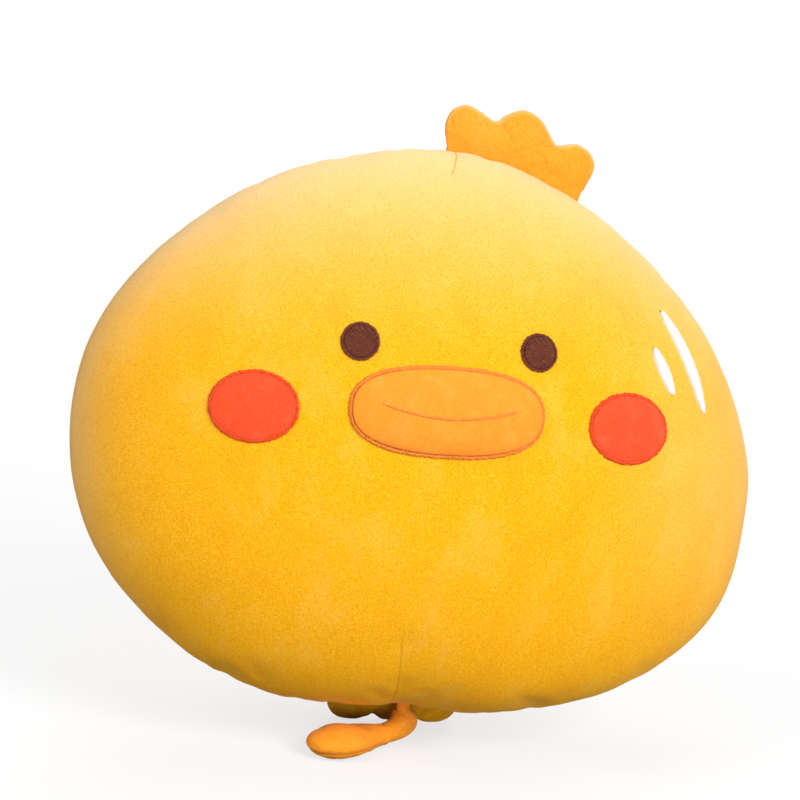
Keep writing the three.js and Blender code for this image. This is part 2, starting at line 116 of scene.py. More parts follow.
def resampled(line: Array, run: Array, at: Array) -> Array:
    """Points of a line at distances run along it."""
    return np.stack([np.interp(at, run, column) for column in line.T], axis=1)


def curve_through(knots: Array, cuts: int, power: float) -> Array:
    """Points of a smooth curve through knots, from the second to just before the last but one.

    Args:
        knots: The knots; the first and the last only give the curve its direction.
        cuts: Points from each knot to the next.
        power: Power of the distance to the next knot that paces the curve: 0 paces all stretches alike.

    Returns:
        The points.
    """
    t = np.linspace(0, 1, cuts, endpoint=False)[:, None]
    line = []
    for a, b, c, d in zip(knots, knots[1:], knots[2:], knots[3:]):
        before, here, after = (max(np.linalg.norm(gap) ** power, 1e-4) for gap in (b - a, c - b, d - c))
        leave = ((b - a) / before - (c - a) / (before + here) + (c - b) / here) * here
        reach = ((c - b) / here - (d - b) / (here + after) + (d - c) / after) * here
        bow, twist = 3 * (c - b) - 2 * leave - reach, 2 * (b - c) + leave + reach
        line.append(b + leave * t + bow * t**2 + twist * t**3)
    return np.concatenate(line)


def tilted(points: Array, angle: float) -> Array:
    """Points turned about the axis that runs across."""
    c, s = math.cos(angle), math.sin(angle)
    x, y, z = np.moveaxis(points, -1, 0)
    return np.stack([x, y * c - z * s, y * s + z * c], axis=-1)


def deselect() -> None:
    """Leaves nothing selected."""
    bpy.ops.object.select_all(action="DESELECT")


class Band(NamedTuple):
    """Values at which something is fully off and fully on, with a smooth step between."""

    off: float
    on: float


@dataclass(frozen=True)
class Arch:
    """A height along a stitch or a seam: a base at both ends and a rise over it in the middle."""

    base: float
    rise: float
    power: float = 0.5

    def __call__(self, share: Array) -> Array:
        """Height at a share of its length."""
        return self.base + self.rise * np.sin(math.pi * np.clip(share, 0, 1)) ** self.power


# ---- Node expressions ----


class Socket:
    """A node's output on which Python operators add Math nodes."""

    def __init__(self, sheet: "Sheet", link: bpy.types.NodeSocket) -> None:
        """Wraps one output socket of a sheet."""
        self.sheet = sheet
        self.link = link

    def math(self, operation: str, *others: Union["Socket", float], first: bool = True) -> "Socket":
        """Adds a Math node.

        Args:
            operation: The node's operation.
            others: Its other operands.
            first: Whether this socket is the first operand.

        Returns:
            The node's result.
        """
        operands = [self, *others] if first else [*others, self]
        return self.sheet.node("ShaderNodeMath", {"operation": operation}, dict(enumerate(operands)))

    def __add__(self, other: Union["Socket", float]) -> "Socket":
        """Sum."""
        return self.math("ADD", other)

    def __sub__(self, other: Union["Socket", float]) -> "Socket":
        """Difference."""
        return self.math("SUBTRACT", other)

    def __rsub__(self, other: float) -> "Socket":
        """Difference, reflected."""
        return self.math("SUBTRACT", other, first=False)

    def __mul__(self, other: Union["Socket", float]) -> "Socket":
        """Product."""
        return self.math("MULTIPLY", other)

    def __abs__(self) -> "Socket":
        """Size without its sign."""
        return self.math("ABSOLUTE")


Input = Union[Socket, float, Sequence[float]]


class Sheet:
    """One material's nodes: a Principled shader and what feeds it."""

    def __init__(self, name: str) -> None:
        """Starts an empty material of that name."""
        self.material = bpy.data.materials.new(name)
        self.material.use_nodes = True
        self.tree = self.material.node_tree
        self.tree.nodes.clear()

    def node(
        self,
        kind: str,
        settings: Optional[dict[str, object]] = None,
        inputs: Optional[dict[Union[int, str], Input]] = None,
        output: Union[int, str] = 0,
    ) -> Socket:
        """Adds a node.

        Args:
            kind: The node's type.
            settings: Its settings, set first.
            inputs: Values or links of its sockets.
            output: Which output is wanted.

        Returns:
            That output.
        """
        made = self.tree.nodes.new(kind)
        for key, value in (settings or {}).items():
            setattr(made, key, value)
        for key, value in (inputs or {}).items():
            if isinstance(value, Socket):
                self.tree.links.new(value.link, made.inputs[key])
            else:
                made.inputs[key].default_value = value
        return Socket(self, made.outputs[output]) if made.outputs else Socket(self, None)

    def place(self) -> Socket:
        """Object coordinates, in metres."""
        return self.node("ShaderNodeTexCoord", output="Object")

    def noise(self, where: Socket, cell: float, detail: float = 2.0, rough: float = 0.5) -> Socket:
        """Soft noise whose cells are about that many millimetres across."""
        inputs = {"Vector": where, "Scale": 1 / (cell * MM), "Detail": detail, "Roughness": rough}
        return self.node("ShaderNodeTexNoise", {}, inputs, "Fac")

    def stretched(self, where: Socket, scale: Sequence[float]) -> Socket:
        """Coordinates scaled along each axis."""
        return self.node("ShaderNodeMapping", {}, {"Vector": where, "Scale": scale})

    def between(self, value: Socket, band: Band) -> Socket:
        """0 where a value is off, 1 where it is on and smooth between."""
        settings = {"interpolation_type": "SMOOTHSTEP"}
        inputs = {"Value": value, "From Min": band.off, "From Max": band.on}
        return self.node("ShaderNodeMapRange", settings, inputs)

    @staticmethod
    def mean(first: Socket, second: Socket, share: float) -> Socket:
        """Mean of two values, of which the first has that share."""
        return first * share + second * (1 - share)

    def blend(self, factor: Input, first: Input, second: Input) -> Socket:
        """Mixes two colours."""
        settings = {"data_type": "RGBA", "blend_type": "MIX", "clamp_factor": True}
        return self.node("ShaderNodeMix", settings, {0: factor, 6: first, 7: second}, 2)

    def attribute(self, name: str) -> Socket:
        """A number that the mesh carries at each point."""
        return self.node("ShaderNodeAttribute", {"attribute_name": name}, output="Fac")

    def bump(self, height: Socket, distance: float, strength: float) -> Socket:
        """A bump of that many millimetres."""
        inputs = {"Height": height, "Distance": distance * MM, "Strength": strength}
        return self.node("ShaderNodeBump", {}, inputs)

    def close(self, **inputs: Input) -> bpy.types.Material:
        """Ends the sheet in a Principled shader.

        Args:
            inputs: The shader's sockets, with underscores for spaces.

        Returns:
            The material.
        """
        named = {key.replace("_", " "): value for key, value in inputs.items()}
        shader = self.node("ShaderNodeBsdfPrincipled", {}, named)
        self.node("ShaderNodeOutputMaterial", {}, {"Surface": shader})
        return self.material


# ---- Finishes ----


@dataclass(frozen=True)
class Plush:
    """Short brushed pile: tips that catch the light, darker roots between them, and sewn lines drawn in.

    The pale colour that stands for sheen is painted on top and along the edges, where light would catch the
    pile, and tint is that of the light its tips scatter.
    """

    name: str
    colour: str
    deep: str
    pale: str
    seam: str
    # Colour of the painted sheen on top and along the edges
    wear_and_painted_sheen: str
    tint: str
    fold: str = "#dd8e0c"
    grain: float = 0.56
    tuft_grains: float = 2.4
    patch_size: float = 26.0
    sheen: float = 0.21
    darts: bool = False
    # Where roots turn into pile, and patches are pressed or lifted by the last stroke over them
    roots: Band = Band(0.38, 0.58)
    tips: Band = Band(0.56, 0.68)
    pressed: Band = Band(0.47, 0.32)
    lifted: Band = Band(0.48, 0.72)
    # How much each of them colours the pile
    tip_light: float = 0.34
    pressed_shade: float = 0.27
    lifted_light: float = 0.12
    seam_shade: float = 0.7
    dart_shade: float = 0.5

    def material(self) -> bpy.types.Material:
        """Builds the material."""
        sheet = Sheet(self.name)
        where = sheet.place()
        deep = linear(self.deep)
        fine = sheet.noise(where, self.grain, 2.0, 0.6)
        tufts = sheet.noise(sheet.stretched(where, (1.0, 1.0, 0.7)), self.tuft_grains * self.grain)
        brushed = sheet.noise(sheet.stretched(where, (1.0, 1.0, 0.6)), self.patch_size, 3.0, 0.6)
        roots = sheet.between(sheet.mean(fine, tufts, 0.72), self.roots)
        colour = sheet.blend(roots, deep, linear(self.colour))
        colour = sheet.blend(sheet.between(brushed, self.pressed) * self.pressed_shade, colour, deep)
        light = sheet.between(fine, self.tips) * self.tip_light
        light = light + sheet.between(brushed, self.lifted) * self.lifted_light
        colour = sheet.blend(light, colour, linear(self.pale))
        # Painted sheen: the pile is painted paler on top and along the edges, where light would catch it
        colour = sheet.blend(sheet.attribute("painted_sheen") * (fine * 1.3 + 0.35), colour, linear(self.wear_and_painted_sheen))
        # The seam mark darkens sewn lines; on the comb and tail it also paints shade in the folds and at the
        # base, and on the foot below its seam
        seam = sheet.attribute("seam")
        colour = sheet.blend(seam * self.seam_shade, colour, linear(self.seam))
        height = sheet.mean(fine, tufts, 0.65) - seam * 0.8
        if self.darts:
            line = self.dart(sheet, where)
            colour = sheet.blend(line * self.dart_shade, colour, linear(self.fold))
            height = height - line * 1.2
        return sheet.close(
            Base_Color=colour,
            Roughness=0.95,
            Normal=sheet.bump(height, 0.4, 0.45),
            Specular_IOR_Level=0.0,
            Sheen_Weight=self.sheen,
            Sheen_Roughness=0.42,
            Sheen_Tint=linear(self.tint),
        )

    @staticmethod
    def dart(sheet: Sheet, where: Socket) -> Socket:
        """The line of a sewn dart, from the distance and reach that the cloth carries.

        Args:
            sheet: The material's nodes.
            where: Object coordinates.

        Returns:
            1 on the line and 0 beside it.
        """
        waver = (sheet.noise(where, 7.0) - 0.5) * 1.2
        off = abs(sheet.attribute("dart_off") + waver)
        return (1.0 - sheet.between(off, Band(0.2, 0.75))) * sheet.attribute("dart_on")


@dataclass(frozen=True)
class NappedCloth:
    """Fine napped cloth of a sewn-on patch, paler in random patches of wear."""

    name: str
    colour: str
    deep: str
    pale: str
    weave: Band = Band(0.36, 0.6)
    # Where random patches of wear turn paler
    wear_and_painted_sheen: Band = Band(0.45, 0.75)
    worn_light: float = 0.35

    def material(self) -> bpy.types.Material:
        """Builds the material."""
        sheet = Sheet(self.name)
        where = sheet.place()
        fine = sheet.noise(where, 0.7, 3.0, 0.7)
        threads = sheet.noise(sheet.stretched(where, (1.0, 1.0, 2.6)), 1.5, 2.0, 0.6)
        weave = sheet.between(sheet.mean(fine, threads, 0.6), self.weave)
        wear_and_painted_sheen = sheet.between(sheet.noise(where, 9.0, 3.0, 0.6), self.wear_and_painted_sheen)
        colour = sheet.blend(weave, linear(self.deep), linear(self.colour))
        return sheet.close(
            Base_Color=sheet.blend(wear_and_painted_sheen * self.worn_light, colour, linear(self.pale)),
            Roughness=0.9,
            Normal=sheet.bump(sheet.mean(fine, threads, 0.5), 0.3, 0.5),
            Specular_IOR_Level=0.15,
            Sheen_Weight=0.25,
            Sheen_Roughness=0.4,
        )


@dataclass(frozen=True)
class StitchThread:
    """Embroidery thread: a soft lustre over twisted filaments, which follow each stitch's own UV map."""

    name: str
    colour: str
    deep: str
    lustre: float = 0.22
    mottling: Band = Band(0.25, 0.68)

    def material(self) -> bpy.types.Material:
        """Builds the material."""
        sheet = Sheet(self.name)
        around = sheet.node("ShaderNodeUVMap", {"uv_map": "thread"})
        settings = {"wave_type": "BANDS", "bands_direction": "DIAGONAL"}
        inputs = {"Vector": around, "Scale": 2.2, "Distortion": 0.6, "Detail": 1.0}
        twist = sheet.node("ShaderNodeTexWave", settings, inputs, "Fac")
        mottled = sheet.noise(sheet.place(), 1.7, 2.0, 0.7)
        tone = sheet.between(sheet.mean(mottled, twist, 0.65), self.mottling)
        return sheet.close(
            Base_Color=sheet.blend(tone, linear(self.deep), linear(self.colour)),
            Roughness=sheet.between(mottled, Band(0.2, 0.9)) * 0.2 + 0.42,
            Normal=sheet.bump(twist, 0.06, 0.5),
            Specular_IOR_Level=self.lustre,
            Sheen_Weight=0.05,
        )


@dataclass(frozen=True)
class Fibre:
    """White fibre filling: matted wisps."""

    name: str = "white_fibre_filling"

    def material(self) -> bpy.types.Material:
        """Builds the material."""
        sheet = Sheet(self.name)
        where = sheet.place()
        wisps = sheet.noise(sheet.stretched(where, (1.0, 2.4, 1.0)), 4.0, 4.0, 0.7)
        colour = sheet.blend(sheet.between(wisps, Band(0.35, 0.65)), linear("#d9d4ca"), linear("#f4f1ea"))
        return sheet.close(Base_Color=colour, Roughness=0.95, Normal=sheet.bump(wisps, 1.2, 0.6))


class Finish(Enum):
    """The toy's finishes, each with its slot in the record."""

    YELLOW_PLUSH = "yellow_plush"
    ORANGE_PLUSH = "orange_plush"
    BROWN_FELT = "brown_felt"
    BROWN_THREAD = "brown_thread"
    RED_FELT = "red_felt"
    RED_THREAD = "red_thread"
    ORANGE_FELT = "orange_felt"
    ORANGE_THREAD = "orange_thread"
    WHITE_THREAD = "white_thread"
    YELLOW_THREAD = "yellow_thread"
    FILLING = "filling"


MAKERS: dict[Finish, Union[Plush, NappedCloth, StitchThread, Fibre]] = {
    Finish.YELLOW_PLUSH: Plush(
        name="yellow_plush_cloth",
        colour="#fdb916",
        deep="#f0a00d",
        pale="#ffd67a",
        seam="#b06c0c",
        # colour of the painted sheen
        wear_and_painted_sheen="#ffeec6",
        tint="#ffdf98",
        darts=True,
    ),
    Finish.ORANGE_PLUSH: Plush(
        name="orange_plush_cloth",
        colour="#fea22e",
        deep="#f69326",
        pale="#ffba64",
        seam="#b8620f",
        # colour of the painted sheen
        wear_and_painted_sheen="#ffd79a",
        tint="#ffdcaa",
        grain=0.62,
    ),
    Finish.BROWN_FELT: NappedCloth("brown_napped_cloth", "#5a2a1a", "#3f1a10", "#764031"),
    Finish.BROWN_THREAD: StitchThread("brown_stitch_thread", "#8c4a34", "#301006", 0.15, Band(0.38, 0.55)),
    Finish.RED_FELT: NappedCloth("red_napped_cloth", "#fb5630", "#ec4620", "#ff6d45"),
    Finish.RED_THREAD: StitchThread("red_stitch_thread", "#ff5c2c", "#c63d12", 0.15, Band(0.29, 0.64)),
    Finish.ORANGE_FELT: NappedCloth("orange_napped_cloth", "#ff9d33", "#f88d22", "#ffb04c"),
    Finish.ORANGE_THREAD: StitchThread("orange_stitch_thread", "#ffa044", "#d8701a", 0.2, Band(0.29, 0.64)),
    Finish.WHITE_THREAD: StitchThread("white_stitch_thread", "#f8f5f2", "#dcd5ce", 0.3),
    Finish.YELLOW_THREAD: StitchThread("yellow_sewing_thread", "#f2b32a", "#c98a14"),
    Finish.FILLING: Fibre(),
}


class Wardrobe:
    """Makes each finish once and dresses pieces in it."""

    def __init__(self) -> None:
        """Starts with no material made."""
        self.made: dict[Finish, bpy.types.Material] = {}

    def dress(self, piece: bpy.types.Object, finish: Finish) -> None:
        """Gives a piece its material."""
        if finish not in self.made:
            self.made[finish] = MAKERS[finish].material()
        piece.data.materials.clear()
        piece.data.materials.append(self.made[finish])


# ---- The bench ----


class Bench:
    """Modelling steps that the pieces share."""

    def __init__(self, wardrobe: Wardrobe) -> None:
        """Takes the wardrobe that dresses each finished piece."""
        self.wardrobe = wardrobe
        self.chance = np.random.default_rng(SEED)

    @staticmethod
    def activate(piece: bpy.types.Object) -> None:
        """Selects one piece alone."""
        deselect()
        piece.select_set(True)
        bpy.context.view_layer.objects.active = piece

    @staticmethod
    def points(piece: bpy.types.Object) -> Array:
        """A piece's points, in millimetres."""
        flat = np.empty(3 * len(piece.data.vertices))
        piece.data.vertices.foreach_get("co", flat)
        return flat.reshape(-1, 3) / MM

    @staticmethod
    def move(piece: bpy.types.Object, points: Array) -> None:
        """Puts a piece's points at places in millimetres."""
        piece.data.vertices.foreach_set("co", (np.asarray(points) * MM).ravel())
        piece.data.update()

    @staticmethod
    def mesh(name: str, points: Array, faces: Sequence[Sequence[int]]) -> bpy.types.Object:
        """Makes a piece.

        Args:
            name: Its name.
            points: Its points, in millimetres.
            faces: Its faces, seen anticlockwise from outside.

        Returns:
            The new object.
        """
        data = bpy.data.meshes.new(name)
        data.from_pydata((np.asarray(points) * MM).tolist(), [], [list(map(int, f)) for f in faces])
        data.update()
        piece = bpy.data.objects.new(name, data)
        bpy.context.scene.collection.objects.link(piece)
        data.shade_smooth()
        return piece

    def closed(self, name: str, rings: Array, poles: Sequence[Array]) -> bpy.types.Object:
        """Makes a closed piece from rings along it.

        Args:
            name: Its name.
            rings: The points of each ring.
            poles: The points that close the first ring and the last.

        Returns:
            The piece, with its faces outwards.
        """
        stations, sides = rings.shape[:2]
        number = np.arange(stations * sides).reshape(stations, sides)
        after = np.roll(number, -1, axis=1)
        walls = np.stack([number[:-1], after[:-1], after[1:], number[1:]], axis=-1)
        faces: list[Sequence[int]] = walls.reshape(-1, 4).tolist()
        for i in range(sides):
            faces.append([number.size, after[0, i], number[0, i]])
            faces.append([number.size + 1, number[-1, i], after[-1, i]])
        piece = self.mesh(name, np.concatenate([rings.reshape(-1, 3), poles]), faces)
        self.outwards(piece)
        return piece

    def modify(self, piece: bpy.types.Object, kind: str, **settings: object) -> None:
        """Adds a modifier and applies it.

        Args:
            piece: The piece.
            kind: The modifier's type.
            settings: Its settings.
        """
        self.activate(piece)
        modifier = piece.modifiers.new(kind.lower(), kind)
        for key, value in settings.items():
            setattr(modifier, key, value)
        bpy.ops.object.modifier_apply(modifier=modifier.name)

    def subdivide(self, piece: bpy.types.Object) -> None:
        """Smooths a piece by one subdivision."""
        self.modify(piece, "SUBSURF", levels=1, render_levels=1)

    @staticmethod
    def mark(piece: bpy.types.Object, name: str, values: Array) -> None:
        """Stores a number at each point of a piece."""
        layer = piece.data.attributes.new(name, "FLOAT", "POINT")
        layer.data.foreach_set("value", np.asarray(values, dtype=np.float32))

    def outwards(self, piece: bpy.types.Object) -> None:
        """Merges doubles and points every face outwards."""
        self.activate(piece)
        bpy.ops.object.mode_set(mode="EDIT")
        bpy.ops.mesh.select_all(action="SELECT")
        bpy.ops.mesh.remove_doubles(threshold=1e-6)
        bpy.ops.mesh.normals_make_consistent(inside=False)
        bpy.ops.object.mode_set(mode="OBJECT")

    def finish(
        self,
        piece: bpy.types.Object,
        body: Optional[str],
        finish: Finish,
        stands_for: Sequence[str],
        fill: Optional[float] = None,
    ) -> bpy.types.Object:
        """Dresses a piece and hands it to the frame.

        Args:
            piece: The piece.
            body: The body that it rides on, or None where it is left unattached.
            finish: Its finish.
            stands_for: The solids that it replaces.
            fill: How tightly it is stuffed, where it is; not used.

        Returns:
            The piece.
        """
        self.wardrobe.dress(piece, finish)
        piece.data.shade_smooth()
        if body:
            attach(piece, body)
        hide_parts(*stands_for)
        LOG.info("%s: %d faces, %s", piece.name, len(piece.data.polygons), finish.value)
        return piece


@dataclass(frozen=True)
class Inflation:
    """Cloth under the pressure of its filling, held along its seams.

    slack is how much it may shrink or grow as a share, and cap how many millimetres it may move.
    """

    pressure: float
    slack: float
    cap: float
    stiffness: float
    bending: float
    frames: int = 20
    quality: int = 6
    mass: float = 0.3
    damping: float = 2.0

    def run(self, bench: Bench, piece: bpy.types.Object, held: Array) -> None:
        """Simulates a closed piece and applies the result.

        Args:
            bench: The bench.
            piece: The closed mesh.
            held: How firmly each point is held, from 0 to 1.
        """
        start = bench.points(piece)
        group = piece.vertex_groups.new(name="held")
        for index, weight in enumerate(held):
            if weight > 0.01:
                group.add([index], float(weight), "REPLACE")
        bench.activate(piece)
        cloth = piece.modifiers.new("cloth", "CLOTH")
        values = {
            "quality": self.quality,
            "mass": self.mass,
            "air_damping": self.damping,
            "tension_stiffness": self.stiffness,
            "compression_stiffness": self.stiffness,
            "shear_stiffness": self.stiffness / 3,
            "bending_stiffness": self.bending,
            "vertex_group_mass": "held",
            "use_pressure": True,
            "uniform_pressure_force": self.pressure,
            "shrink_min": -self.slack,
        }
        for key, value in values.items():
            setattr(cloth.settings, key, value)
        cloth.settings.effector_weights.gravity = 0.0
        cloth.collision_settings.use_collision = False
        cloth.point_cache.frame_start = 1
        cloth.point_cache.frame_end = self.frames
        scene = bpy.context.scene
        for frame in range(1, self.frames + 1):
            scene.frame_set(frame)
        bpy.ops.object.modifier_apply(modifier=cloth.name)
        scene.frame_set(1)
        piece.vertex_groups.clear()
        moved = bench.points(piece) - start
        reach = np.linalg.norm(moved, axis=1, keepdims=True)
        eased = self.cap * np.tanh(reach / self.cap)
        moved *= np.where(reach > TINY, eased / np.maximum(reach, TINY), 0.0)
        bench.move(piece, start + moved)
        LOG.info("%s: simulated, moved %.1f mm at most", piece.name, float(np.abs(eased).max()))


# ---- Body ----


@dataclass(frozen=True)
class BodyShape:
    """The stuffed body in its own frame, in millimetres: the seam lies in its XZ plane."""

    width: float = 381.0
    height: float = 316.0
    depth: float = 165.0
    right_fullness: float = 0.039
    left_fullness: float = 0.175
    crown_power: float = 2.2
    crown_edge: float = 0.52
    lean: float = math.radians(-14)
    middle: tuple[float, float, float] = (-1.4028, 0.0, 171.726)
    # Angle round the outline, amount and spread of what wear and settling did to it
    settled: tuple[tuple[float, float, float], ...] = (
        (-40.0, 3.2, 11.0),
        (-14.0, -2.4, 7.0),
        (7.0, -1.5, 9.0),
        (33.0, 0.9, 9.0),
        (53.0, 1.4, 9.0),
        (86.0, 2.1, 7.0),
        (164.0, 1.6, 9.0),
        (-123.0, 1.2, 10.0),
        (-100.0, -1.8, 5.0),
        (-94.0, -3.4, 15.0),
        (-88.0, -5.0, 6.0),
        (-56.0, 1.2, 7.0),
    )

    def width_at(self, x: Array, high: Array) -> Array:
        """Share of the outline's width that is left at a height."""
        return 1 - np.where(x > 0, self.left_fullness, self.right_fullness) * high

    def points(self, angle: Array, share: Array, side: float, inset: float = 0.0) -> Array:
        """Points of the body.

        Args:
            angle: Angle round the outline.
            share: Share of the way out to it.
            side: -1 in front, 1 behind, 0 in the seam's plane.
            inset: How far inside the body.

        Returns:
            The points.
        """
        high = share * np.sin(angle)
        wide = self.width_at(np.cos(angle), high) * share * np.cos(angle)
        y = side * (self.depth / 2 - inset) * crown(share, self.crown_power, self.crown_edge)
        return np.stack([(self.width / 2 - inset) * wide, y, (self.height / 2 - inset) * high], axis=-1)

    def settle(self, points: Array) -> Array:
        """Moves points as the filling has settled."""
        x, _, z = np.moveaxis(points, -1, 0)
        angle = np.degrees(np.arctan2(z / self.height, x / self.width))
        share = np.hypot(2 * x / self.width, 2 * z / self.height)
        amount = np.zeros_like(x)
        for where, far, spread in self.settled:
            off = (angle - where + 180) % 360 - 180
            amount += far * np.exp(-0.5 * (off / spread) ** 2)
        amount *= np.clip(share, 0, 1.1) ** 4
        out = np.stack([x / self.width**2, 0 * x, z / self.height**2], axis=-1)
        return points + unit(out) * amount[..., None]

    def outward(self, points: Array) -> Array:
        """Roughly the outward direction at points of the body."""
        return unit(points / np.array([self.width, self.depth, self.height]) ** 2)

    def world(self, points: Array) -> Array:
        """Takes points from the body's frame to the toy's."""
        return tilted(points, self.lean) + np.array(self.middle)

    def local(self, points: Array) -> Array:
        """Takes points from the toy's frame to the body's."""
        return tilted(points - np.array(self.middle), -self.lean)


class Disc:
    """A panel laid out in square cells on its disc, and one behind it that shares its rim."""

    # Shares of a quarter turn at which the three outermost rings lie, and the last of the even ones
    outer_rings = (0.985, 0.9935, 1.0)
    last_even = 0.975

    def __init__(self, cells: int) -> None:
        """Lays out that many cells to a side: angle and share of the way out, rim and point numbers."""
        line = np.linspace(-1, 1, cells + 1)
        a, b = np.meshgrid(line, line, indexing="ij")
        level = np.abs(a) >= np.abs(b)
        with np.errstate(divide="ignore", invalid="ignore"):
            angle = np.where(level, math.pi / 4 * b / a, math.pi / 2 - math.pi / 4 * a / b)
        angle = np.where(level & (a < 0) | ~level & (b < 0), angle + math.pi, angle)
        half = cells // 2
        even = np.linspace(0, self.last_even, half + 1 - len(self.outer_rings))
        ring = np.rint(np.maximum(np.abs(a), np.abs(b)) * half).astype(int)
        self.angle = np.nan_to_num(angle)
        self.share = np.sin(np.concatenate([even, self.outer_rings])[ring] * math.pi / 2)
        self.rim = ring == half
        self.front = np.arange(ring.size).reshape(ring.shape)
        self.back = self.front.copy()
        self.back[~self.rim] = ring.size + np.arange(np.count_nonzero(~self.rim))

    @staticmethod
    def quads(number: Array) -> Array:
        """Faces over a panel's point numbers, outwards in front."""
        corners = [number[:-1, :-1], number[1:, :-1], number[1:, 1:], number[:-1, 1:]]
        return np.stack([c.ravel() for c in corners], axis=1)

    def both(self, front: Array, back: Array) -> Array:
        """What lies at the points of the closed body: all of the front's, and the back's off the rim."""
        return np.concatenate([front.reshape(-1, *front.shape[2:]), back[~self.rim]])

    def faces(self) -> Array:
        """Faces of the closed body."""
        return np.concatenate([self.quads(self.front), self.quads(self.back)[:, ::-1]])


@dataclass
class PlushBody:
    """The two plush panels and their filling."""

    shape: BodyShape = BodyShape()
    inflation: Inflation = Inflation(pressure=5.0, slack=0.012, cap=4.5, stiffness=30.0, bending=2.0)
    fill: float = 0.9
    cells: int = 96
    filling_cells: int = 32
    cloth: float = 1.6
    gap: float = 0.15
    groove: float = 1.1
    groove_width: float = 2.2
    near_rim: float = 0.9
    filling_inset: float = 6.0
    start_depth: float = 0.97
    # Outer and inner end of each dart, across and up in the body's frame
    darts: tuple[tuple[float, float, float, float], ...] = (
        (10.2, 158.0, 3.7, 143.8),
        (-6.5, -158.0, -12.9, -109.3),
    )
    # Depth and half width of a dart's line, of the hollow along it and of the dimple at its inner end
    dart_line: tuple[float, float] = (0.5, 2.4)
    dart_hollow: tuple[float, float] = (0.8, 10.0)
    dart_dimple: tuple[float, float] = (0.9, 4.0)
    # Painted sheen: how pale the pile is painted on top, along the seam, wider along its left, and on the
    # right
    top_painted_sheen: float = 0.44
    seam_painted_sheen: float = 0.26
    left_painted_sheen: float = 0.06
    right_painted_sheen: float = 0.12

    def build(self, bench: Bench) -> bpy.types.Object:
        """Builds panels and filling.

        Args:
            bench: The bench.

        Returns:
            The front panel.
        """
        disc = Disc(self.cells)
        start = self.stuffed(disc)
        whole = bench.mesh("whole_body", start, disc.faces())
        held = np.zeros(len(start))
        held[disc.front[disc.rim]] = 1.0
        self.inflation.run(bench, whole, held)
        # The corners of the square cells would be drawn into dents, so there the start's shape is kept
        angles, shares = disc.both(disc.angle, disc.angle), disc.both(disc.share, disc.share)
        corner = 0.85 * hump(np.cos(2 * angles), 0.3) * smooth((shares - 0.72) / 0.2)
        points = self.touch(start + (bench.points(whole) - start) * (1 - corner)[:, None])
        bpy.data.objects.remove(whole)
        panels = []
        for name, order, side in (("front", disc.front, -1), ("back", disc.back, 1)):
            places = points[order.ravel()] + np.array([0.0, side * self.gap, 0.0])
            quads = disc.quads(disc.front)[:, ::-side]
            panel = bench.mesh(f"plush_{name}_panel", self.shape.world(places), quads)
            off, on, _ = self.dart_gap(places)
            seam = hump(np.abs(places[:, 1]) - self.gap, 1.0) * (disc.share.ravel() > self.near_rim)
            bench.mark(panel, "seam", seam)
            bench.mark(panel, "dart_off", np.clip(off, -12, 12))
            bench.mark(panel, "dart_on", on)
            # Painted sheen, paler on top and along the seam
            bench.mark(panel, "painted_sheen", self.painted_sheen(places))
            bench.modify(panel, "SOLIDIFY", thickness=self.cloth * MM, offset=-1.0, use_even_offset=False)
            bench.subdivide(panel)
            panels.append(bench.finish(panel, "body", Finish.YELLOW_PLUSH, [f"body_{name}_panel"], self.fill))
        inner = Disc(self.filling_cells)
        places = self.shape.settle(self.stuffed(inner, self.filling_inset))
        filling = bench.mesh("fibre_body_filling", self.shape.world(places), inner.faces())
        bench.finish(filling, "body", Finish.FILLING, ["body_filling"], self.fill)
        return panels[0]

    def stuffed(self, disc: Disc, inset: float = 0.0) -> Array:
        """Points of the closed body that far inside it, before it settles."""
        depths = (-self.start_depth, self.start_depth)
        return disc.both(*(self.shape.points(disc.angle, disc.share, side, inset) for side in depths))

    def touch(self, points: Array) -> Array:
        """Adds what settling, the seam and the darts do to the stuffed shape."""
        x, y, z = points.T
        share = np.hypot(2 * x / self.shape.width, 2 * z / self.shape.height)
        depth = self.groove * hump(y, self.groove_width) * (share > self.near_rim)
        off, on, inner = self.dart_gap(points)
        marks = ((off, on, self.dart_line), (off, on, self.dart_hollow), (inner, 1.0, self.dart_dimple))
        for distance, reach, (deep, wide) in marks:
            depth = depth + deep * hump(distance, wide) * reach
        return self.shape.settle(points - self.shape.outward(points) * depth[:, None])

    def painted_sheen(self, points: Array) -> Array:
        """Painted sheen: how far the pile is painted pale, mostly on top and along the seam, where light
        would catch it.
        """
        x, y, z = points.T
        out = self.shape.world(points + self.shape.outward(points)) - self.shape.world(points)
        upward = smooth((out[:, 2] - 0.3) / 0.75) ** 1.3
        left, right = smooth((-x - 90) / 90), smooth((x - 70) / 110)
        edge = self.seam_painted_sheen * hump(y, 22.0) + self.left_painted_sheen * left * hump(y, 34.0)
        edge = edge + self.right_painted_sheen * (right * smooth((0.95 - upward) / 0.6))
        return self.top_painted_sheen * upward + smooth((z + 145) / 150) * edge

    def dart_gap(self, points: Array) -> tuple[Array, Array, Array]:
        """Where points lie by the nearest dart.

        Args:
            points: Points in the body's frame.

        Returns:
            The distance beside its line, 1 along it and 0 past its inner end, and the distance from that end.
        """
        off, on, inner = np.full(len(points), 99.0), np.zeros(len(points)), np.full(len(points), 99.0)
        for x0, z0, x1, z1 in self.darts:
            line = np.array([x0 - x1, z0 - z1])
            length = np.linalg.norm(line)
            line /= length
            gap = points[:, [0, 2]] - np.array([x1, z1])
            along = gap @ line
            beside = gap @ np.array([-line[1], line[0]])
            near = np.abs(along - length / 2) < length
            off = np.where(near, beside, off)
            on = np.where(near, smooth((along + 1) / 3), on)
            inner = np.where(near, np.hypot(along, beside), inner)
        return off, on, inner


